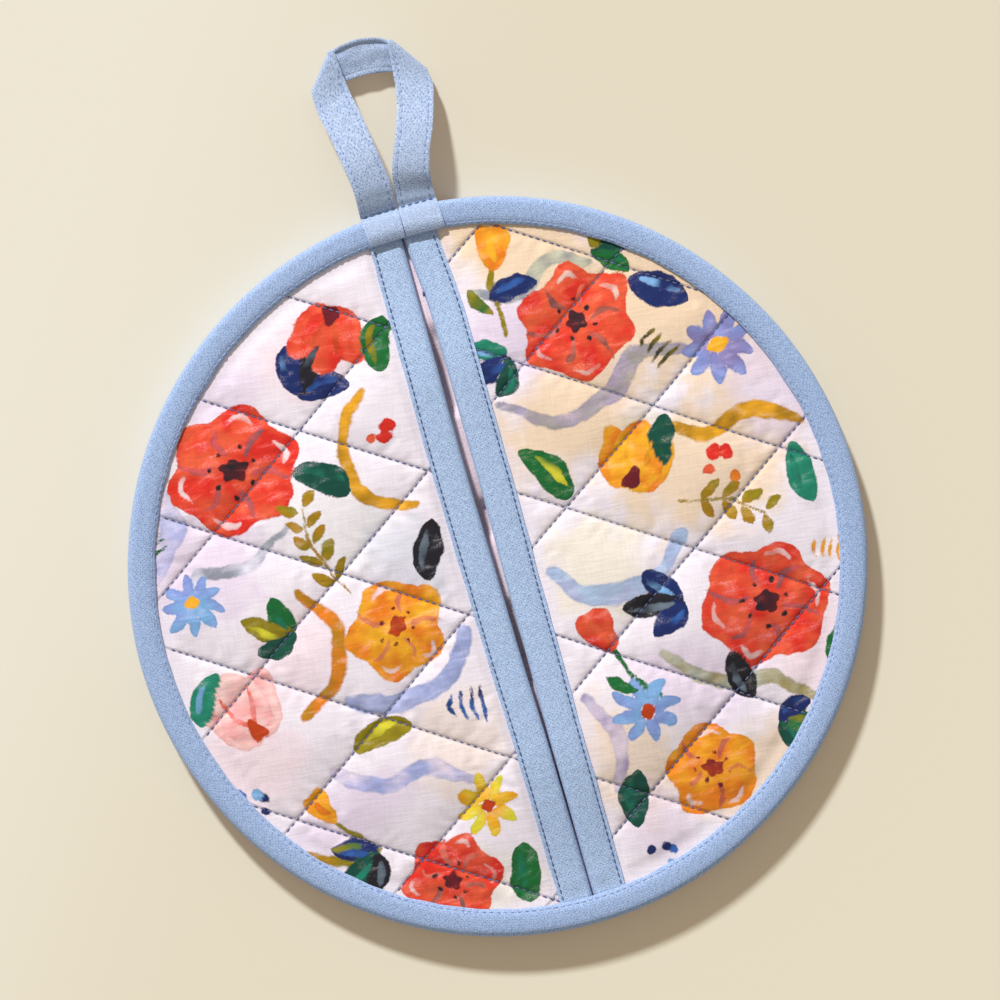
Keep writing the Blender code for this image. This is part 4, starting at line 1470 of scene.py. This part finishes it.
def ribbon_rows():
    """The ribbon's two edges, height and run from its left end, over both folds, to its right end.

    The run is 0 on the two legs and rises to 1 on the short top run between the folds.
    """
    low = FOLD_LIFT + RIBBON / 2
    high = low + RIBBON + FOLD_SPACE
    lap = RIM_TOP + AIR + RIBBON / 2

    def with_height(row):
        return (*row[:4], mix(high, lap, row[4]))

    def outward(axis, side):
        run = Vector((axis[2] - axis[0], axis[3] - axis[1])).normalized()
        return Vector((side * run.y, -side * run.x))

    left = smooth_rows([*map(with_height, LEFT_LEG), (*LEFT_FOLD, high)], 8)
    right = smooth_rows([*map(with_height, RIGHT_LEG), (*RIGHT_FOLD, high)], 8)
    top = smooth_rows([(*row, low) for row in (LEFT_FOLD, *TOP_RUN, RIGHT_FOLD)], 10)
    left_turn = fold_rows(LEFT_FOLD, low, outward(LEFT_FOLD, -1), 8)
    right_turn = fold_rows(RIGHT_FOLD, low, outward(RIGHT_FOLD, 1), 8)
    rows = [[*row, 0.0] for row in [*left, *left_turn]]
    last = len(top) - 1
    rows += [[*row, smooth(5 * min(index, last - index) / last)] for index, row in enumerate(top)]
    return rows + [[*row, 0.0] for row in [*reversed(right_turn), *reversed(right)]]


def ribbon_point(row, u):
    """A point on the ribbon's middle surface, at the share u of its width from its outer edge."""
    outer = Vector((row[0], RIM_RADIUS + row[1], row[4] + curl(row[1])))
    inner = Vector((row[2], RIM_RADIUS + row[3], row[4] + curl(row[3])))
    point = outer.lerp(inner, u)
    radius = point.xy.length
    across = u * RIBBON_WIDTH
    if row[5] == 0.0 and radius < RIM_RADIUS + 0.006:
        point.z -= 0.0017 * clamp((RIM_RADIUS - RIM_WIDTH + 0.0035 - radius) / 0.0045) ** 2
        slope = smooth((radius - 0.1012) / 0.006) * (1 - smooth((radius - 0.1085) / 0.002))
        point.z -= 0.0008 * slope
    for edge in (across, RIBBON_WIDTH - across):
        point.z -= 0.00014 * math.exp(-(((edge - 0.0013) / 0.0005) ** 2))
        point.z -= 0.00016 * clamp(1 - edge / 0.0008) ** 2
    point.z += 0.00012 * wander(point.x, point.y, 0.0065, 60.0)
    point.z += 0.00005 * wander(point.x * 3, point.y, 0.0035, 63.0)
    lip = 1 - smooth((RIBBON_WIDTH - across - 0.0003) / 0.0008)
    point.z += row[5] * (0.0005 * lip - 0.0002 * smooth(1 - abs(across - 0.0084) / 0.0016))
    point.z += row[5] * 0.0003 * wander(point.x, point.y, 0.0030, 66.0)
    return point


def build_ribbon(material):
    rows = ribbon_rows()
    middles = [ribbon_point(row, 0.5) for row in rows]
    length = sum((end - start).length for start, end in zip(middles, middles[1:]))
    count = len(rows) - 1

    def place(u, v):
        return ribbon_point(rows[round(v * count)], u)

    item = strip("ribbon_loop", RIBBON_COLUMNS, count, place, (RIBBON_WIDTH, length))
    edit_all(bpy.ops.mesh.normals_make_consistent, inside=False)
    apply_modifier(item, "SOLIDIFY", thickness=RIBBON_CLOTH, offset=0)
    edge = {"width": 0.00025, "segments": 2}
    apply_modifier(item, "BEVEL", limit_method="ANGLE", angle_limit=math.radians(60), **edge)
    finish_piece(item, material, "blue_tape", "hanging_loop")


# Thread


def stitch_form():
    """One stitch along X: a short round thread with ends that dive into the cloth."""
    deselect()
    lying = (0, math.pi / 2, 0)
    bpy.ops.mesh.primitive_cylinder_add(vertices=6, radius=THREAD / 2, depth=STITCH_LENGTH, rotation=lying)
    item = bpy.context.object
    bpy.ops.object.transform_apply(location=False, rotation=True, scale=False)
    for place in (STITCH_LENGTH / 4, -STITCH_LENGTH / 4):
        edit_all(bpy.ops.mesh.bisect, plane_co=(place, 0, 0), plane_no=(1, 0, 0))
    for vertex in item.data.vertices:
        end = abs(vertex.co.x) / (STITCH_LENGTH / 2)
        vertex.co.z -= 0.75 * THREAD * end**3
        if end > 0.9:
            vertex.co.y *= 0.6
    return item


STITCH = stitch_form()


def sew(name, places, material):
    """One piece of stitches at (place, direction, up) triples, each a copy of the same form."""
    bm = bmesh.new()
    for place, run, up in places:
        run = (run - up * run.dot(up)).normalized()
        side = up.cross(run)
        turn = Matrix((run, side, up)).transposed().to_4x4()
        turn.translation = place
        first = len(bm.verts)
        bm.from_mesh(STITCH.data)
        bm.verts.ensure_lookup_table()
        bmesh.ops.transform(bm, matrix=turn, verts=bm.verts[first:])
    mesh = bpy.data.meshes.new(name)
    bm.to_mesh(mesh)
    bm.free()
    item = bpy.data.objects.new(name, mesh)
    bpy.context.scene.collection.objects.link(item)
    finish_piece(item, material, "blue_tape")


def surface_stitches(path, height, up=1):
    """Stitches at an even pitch along a plan path, on the surface that height(x, y) gives."""
    places = []
    step = SLOPE_STEP
    lengths = step_lengths(path)
    for number in range(int(sum(lengths) / STITCH_PITCH)):
        run = (number + 0.5) * STITCH_PITCH
        x, y = path_point(path, lengths, run)
        ahead = path_point(path, lengths, run + WAY_STEP)
        behind = path_point(path, lengths, run - WAY_STEP)
        level = height(x, y)
        slope_x = (height(x + step, y) - height(x - step, y)) / (2 * step)
        slope_y = (height(x, y + step) - height(x, y - step)) / (2 * step)
        normal = Vector((-slope_x, -slope_y, 1.0)).normalized() * up
        run_way = Vector((ahead[0] - behind[0], ahead[1] - behind[1], 0.0))
        run_way.z = slope_x * run_way.x + slope_y * run_way.y
        places.append((Vector((x, y, level)) + normal * THREAD_RISE, run_way.normalized(), normal))
    return places


def line_stitches(points, ups):
    """Stitches at an even pitch along a line in space, given its points and the upward way at each."""
    places = []
    run = 0.0
    goal = 0.5 * STITCH_PITCH
    for start, end, up in zip(points, points[1:], ups):
        length = (end - start).length
        while run + length > goal:
            share = (goal - run) / length
            places.append((start.lerp(end, share) + up * THREAD_RISE, (end - start).normalized(), up))
            goal += STITCH_PITCH
        run += length
    return places


def seam_paths(crossing, inside):
    """Plan paths of the quilting seams, cut to where inside(x, y) holds."""
    paths = []
    for normal in SEAM_NORMALS:
        run = Vector((-normal.y, normal.x)).normalized()
        for row in range(-SEAM_COUNT, SEAM_COUNT + 1):
            start = Vector(crossing) + normal * (row / normal.length_squared)
            path = []
            for step in range(-SEAM_STEPS, SEAM_STEPS + 1):
                ideal = start + run * (step * SEAM_STEP)
                x, y = ideal - seam_drift(ideal.x, ideal.y, crossing)
                if inside(x, y):
                    path.append((x, y))
                elif path:
                    break
            if len(path) > 4:
                paths.append(path)
    return paths


def sew_quilting(quilt_thread):
    inner = RIM_RADIUS - RIM_WIDTH - 0.0002
    for pocket in (LEFT, RIGHT):

        def inside(x, y, pocket=pocket):
            return math.hypot(x, y) < inner + 0.0008 and pocket.inset(x, y) > TAPE_WIDTH - 0.0012

        places = []
        for path in seam_paths(pocket.crossing, inside):
            places += surface_stitches(path, pocket.top)
        sew(f"{pocket.word}_quilting_thread", places, quilt_thread)
    places = []
    for path in seam_paths(BACK_CROSSING, lambda x, y: math.hypot(x, y) < inner):
        places += surface_stitches(path, lambda x, y: max(0.0001, back_form(x, y)[0]), -1)
    sew("back_quilting_thread", places, quilt_thread)


def sew_tapes(tape_thread, pale_thread):
    places = []
    for pocket in (LEFT, RIGHT):
        reach = RIM_RADIUS - RIM_WIDTH - 0.0006
        path = [pocket.point(TAPE_WIDTH - TAPE_TOPSTITCH, y / 500 * reach) for y in range(-500, 501, 4)]

        def top(x, y):
            return POCKET_FLOOR + POCKET_RIM + pocket_lift(abs(y)) + 0.00005

        places += surface_stitches(path, top)
    knot = [RIGHT.point(inset, 0.0822) for inset in (-0.0002, 0.0001, 0.0004)]
    level = POCKET_FLOOR + 0.8 * POCKET_RIM + pocket_lift(0.0822)
    places += [(Vector((*place, level)), Vector((0.1, 1.0, 0.0)), Vector((0.0, 0.0, 1.0))) for place in knot]
    sew("slit_tape_thread", places, tape_thread)
    radius = RIM_RADIUS - RIM_WIDTH + RIM_TOPSTITCH
    circle = []
    for step in range(721):
        angle = 2 * math.pi * step / 720
        circle.append((radius * math.cos(angle), radius * math.sin(angle)))
    places = surface_stitches(circle, lambda x, y: RIM_TOP - 0.00036)
    places += surface_stitches(circle, lambda x, y: 0.00016, -1)
    sew("rim_thread", places, pale_thread)


def sew_ribbon(edge_thread, tack_thread):
    """Topstitch along both edges of the loop's legs, and the row that tacks it down past the rim."""
    rows = ribbon_rows()
    firsts = [index for index, row in enumerate(rows) if row[5] > 0]
    legs = (rows[: 8 * len(LEFT_LEG) - 3], rows[: firsts[-1] + 11 : -1])
    edges = []
    tacks = []
    for leg in legs:
        free = [row for row in leg if row[1] > 0.0012]
        for u in (0.13, 0.87):
            points = [ribbon_point(row, u) for row in free]
            ups = []
            for row, start, end in zip(free, points, points[1:]):
                across = ribbon_point(row, u + 0.05) - ribbon_point(row, u - 0.05)
                up = across.cross(end - start).normalized()
                ups.append(up if up.z > 0 else -up)
            lifted = [point + up * (RIBBON_CLOTH / 2) for point, up in zip(points, [*ups, ups[-1]])]
            edges += line_stitches(lifted, ups)
        tack = min(leg, key=lambda row: abs(row[1] - 0.0004))
        lift = Vector((0.0, 0.0, RIBBON_CLOTH / 2 + 0.0001))
        points = [ribbon_point(tack, 0.04 + 0.92 * step / 20) + lift for step in range(21)]
        tacks += line_stitches(points, [Vector((0.0, -0.2, 1.0)).normalized()] * 20)
    sew("ribbon_edge_thread", edges, edge_thread)
    sew("ribbon_tack_thread", tacks, tack_thread)


# Scene


# The floor's paper at the picture's upper left, lighter as painted light, and elsewhere, and the warm glow
# that it gives off as painted light, which shows most in its shadows, and the floor's size and level
FLOOR_PAINTED_LIGHT = linear(226, 229, 220)
FLOOR_DEEP = linear(217, 217, 203)
FLOOR_PAINTED_GLOW = (0.10, 0.035, 0.0, 1.0)
FLOOR_SIZE = 4.0
FLOOR_LEVEL = -0.0002


def build_floor():
    """Cream paper with painted light: a little lighter towards the upper left of the picture, and a warm glow
    of its own.
    """
    deselect()
    bpy.ops.mesh.primitive_plane_add(size=FLOOR_SIZE, location=(0, 0, FLOOR_LEVEL))
    floor = bpy.context.object
    floor.name = "paper_floor"
    material = bpy.data.materials.new("cream_paper_painted_light")
    material.use_nodes = True
    tree = material.node_tree
    place = object_place(tree)
    x, y = separate(tree, place)[:2]
    left = maths(tree, "MULTIPLY_ADD", x, -0.81, maths(tree, "MULTIPLY", y, 0.59))
    grain = maths(tree, "SUBTRACT", noise_value(tree, place, 1400.0, 2.0), 0.5)
    left = maths(tree, "MULTIPLY_ADD", grain, 0.02, left)
    # Painted light: the paper is lighter towards the picture's upper left.
    tone = blend(tree, spread(tree, left, 0.03, 0.16), FLOOR_DEEP, FLOOR_PAINTED_LIGHT)
    looks = {"Base Color": tone, "Roughness": 0.95, "Specular IOR Level": 0.1}
    # Painted light: the floor glows warm, which shows most in its shadows.
    looks.update({"Emission Color": FLOOR_PAINTED_GLOW, "Emission Strength": 1.0})
    feed(tree, tree.nodes["Principled BSDF"].inputs, looks)
    floor.data.materials.append(material)


# Key light: where it stands seen from above, its elevation, its angular size and its strength, and the fill's
KEY_AZIMUTH = 99.5
KEY_ELEVATION = 32.0
KEY_SIZE = 5.5
KEY_STRENGTH = 3.70
FILL_STRENGTH = 0.37


def build_lights():
    deselect()
    bpy.ops.object.light_add(type="SUN", location=(0, 0, 1))
    sun = bpy.context.object
    sun.name = "window_key"
    sun.data.energy = KEY_STRENGTH
    sun.data.angle = math.radians(KEY_SIZE)
    sun.data.color = (1.0, 0.992, 0.978)
    azimuth, elevation = math.radians(KEY_AZIMUTH), math.radians(KEY_ELEVATION)
    towards = Vector((
        math.cos(azimuth) * math.cos(elevation),
        math.sin(azimuth) * math.cos(elevation),
        math.sin(elevation),
    ))
    sun.rotation_euler = towards.to_track_quat("Z", "Y").to_euler()
    world = bpy.data.worlds.new("studio")
    world.use_nodes = True
    background = world.node_tree.nodes["Background"]
    background.inputs["Color"].default_value = (1.0, 0.945, 0.82, 1.0)
    background.inputs["Strength"].default_value = FILL_STRENGTH
    bpy.context.scene.world = world


# Camera: straight above, its view centre, its turn, the width of the view and the level where it is measured
VIEW_CENTRE = (0.0061, 0.0184)
VIEW_TURN = -16.2
VIEW_WIDTH = 0.2911
VIEW_LEVEL = 0.009
CAMERA_HEIGHT = 1.5
SENSOR_WIDTH = 36.0


def build_camera():
    deselect()
    bpy.ops.object.camera_add(location=(*VIEW_CENTRE, VIEW_LEVEL + CAMERA_HEIGHT))
    camera = bpy.context.object
    camera.name = "camera_above"
    camera.rotation_euler = (0, 0, math.radians(VIEW_TURN))
    camera.data.sensor_width = SENSOR_WIDTH
    camera.data.lens = SENSOR_WIDTH * CAMERA_HEIGHT / VIEW_WIDTH
    bpy.context.scene.camera = camera


def main():
    scene = bpy.context.scene
    scene.view_settings.view_transform = "Standard"
    build_camera()
    build_floor()
    build_lights()
    print_material = build_print_material()
    fleck = linear(84, 106, 160)
    # One blue cotton in three copies; the rim's copy is darker and bluer, painted shade.
    slit_cotton = build_tape_material("slit_tape_cotton", linear(179, 202, 237), fleck)
    rim_cotton_painted_shade = build_tape_material("rim_tape_cotton_painted_shade", linear(166, 189, 229), fleck)
    ribbon_cotton = build_tape_material("ribbon_cotton", linear(180, 198, 230), fleck)
    pink, shaded_pink = linear(252, 234, 244), linear(240, 216, 230)
    lining_material = build_plain_material("pink_cotton", pink, shaded_pink, 0.0005)
    wadding_material = build_wadding_material()
    quilt_thread = build_thread_material("quilting_thread", linear(112, 120, 170), linear(74, 82, 130))
    tape_thread = build_thread_material("tape_thread", linear(92, 110, 160), linear(58, 74, 122))
    pale_thread = build_thread_material("pale_thread", linear(164, 184, 224), linear(134, 156, 204))
    tack_thread = build_thread_material("tack_thread", linear(90, 134, 182), linear(58, 98, 146))
    for pocket in (LEFT, RIGHT):
        pocket.swelling = swell(pocket)
        build_pocket_face(pocket, print_material)
        build_pocket_wadding(pocket, wadding_material)
        build_pocket_lining(pocket, lining_material)
        build_opening_tape(pocket, slit_cotton)
    build_back(print_material, wadding_material, lining_material)
    build_rim_tape(rim_cotton_painted_shade)
    build_ribbon(ribbon_cotton)
    sew_quilting(quilt_thread)
    sew_tapes(tape_thread, pale_thread)
    sew_ribbon(pale_thread, tack_thread)
    bpy.data.objects.remove(STITCH, do_unlink=True)


main()
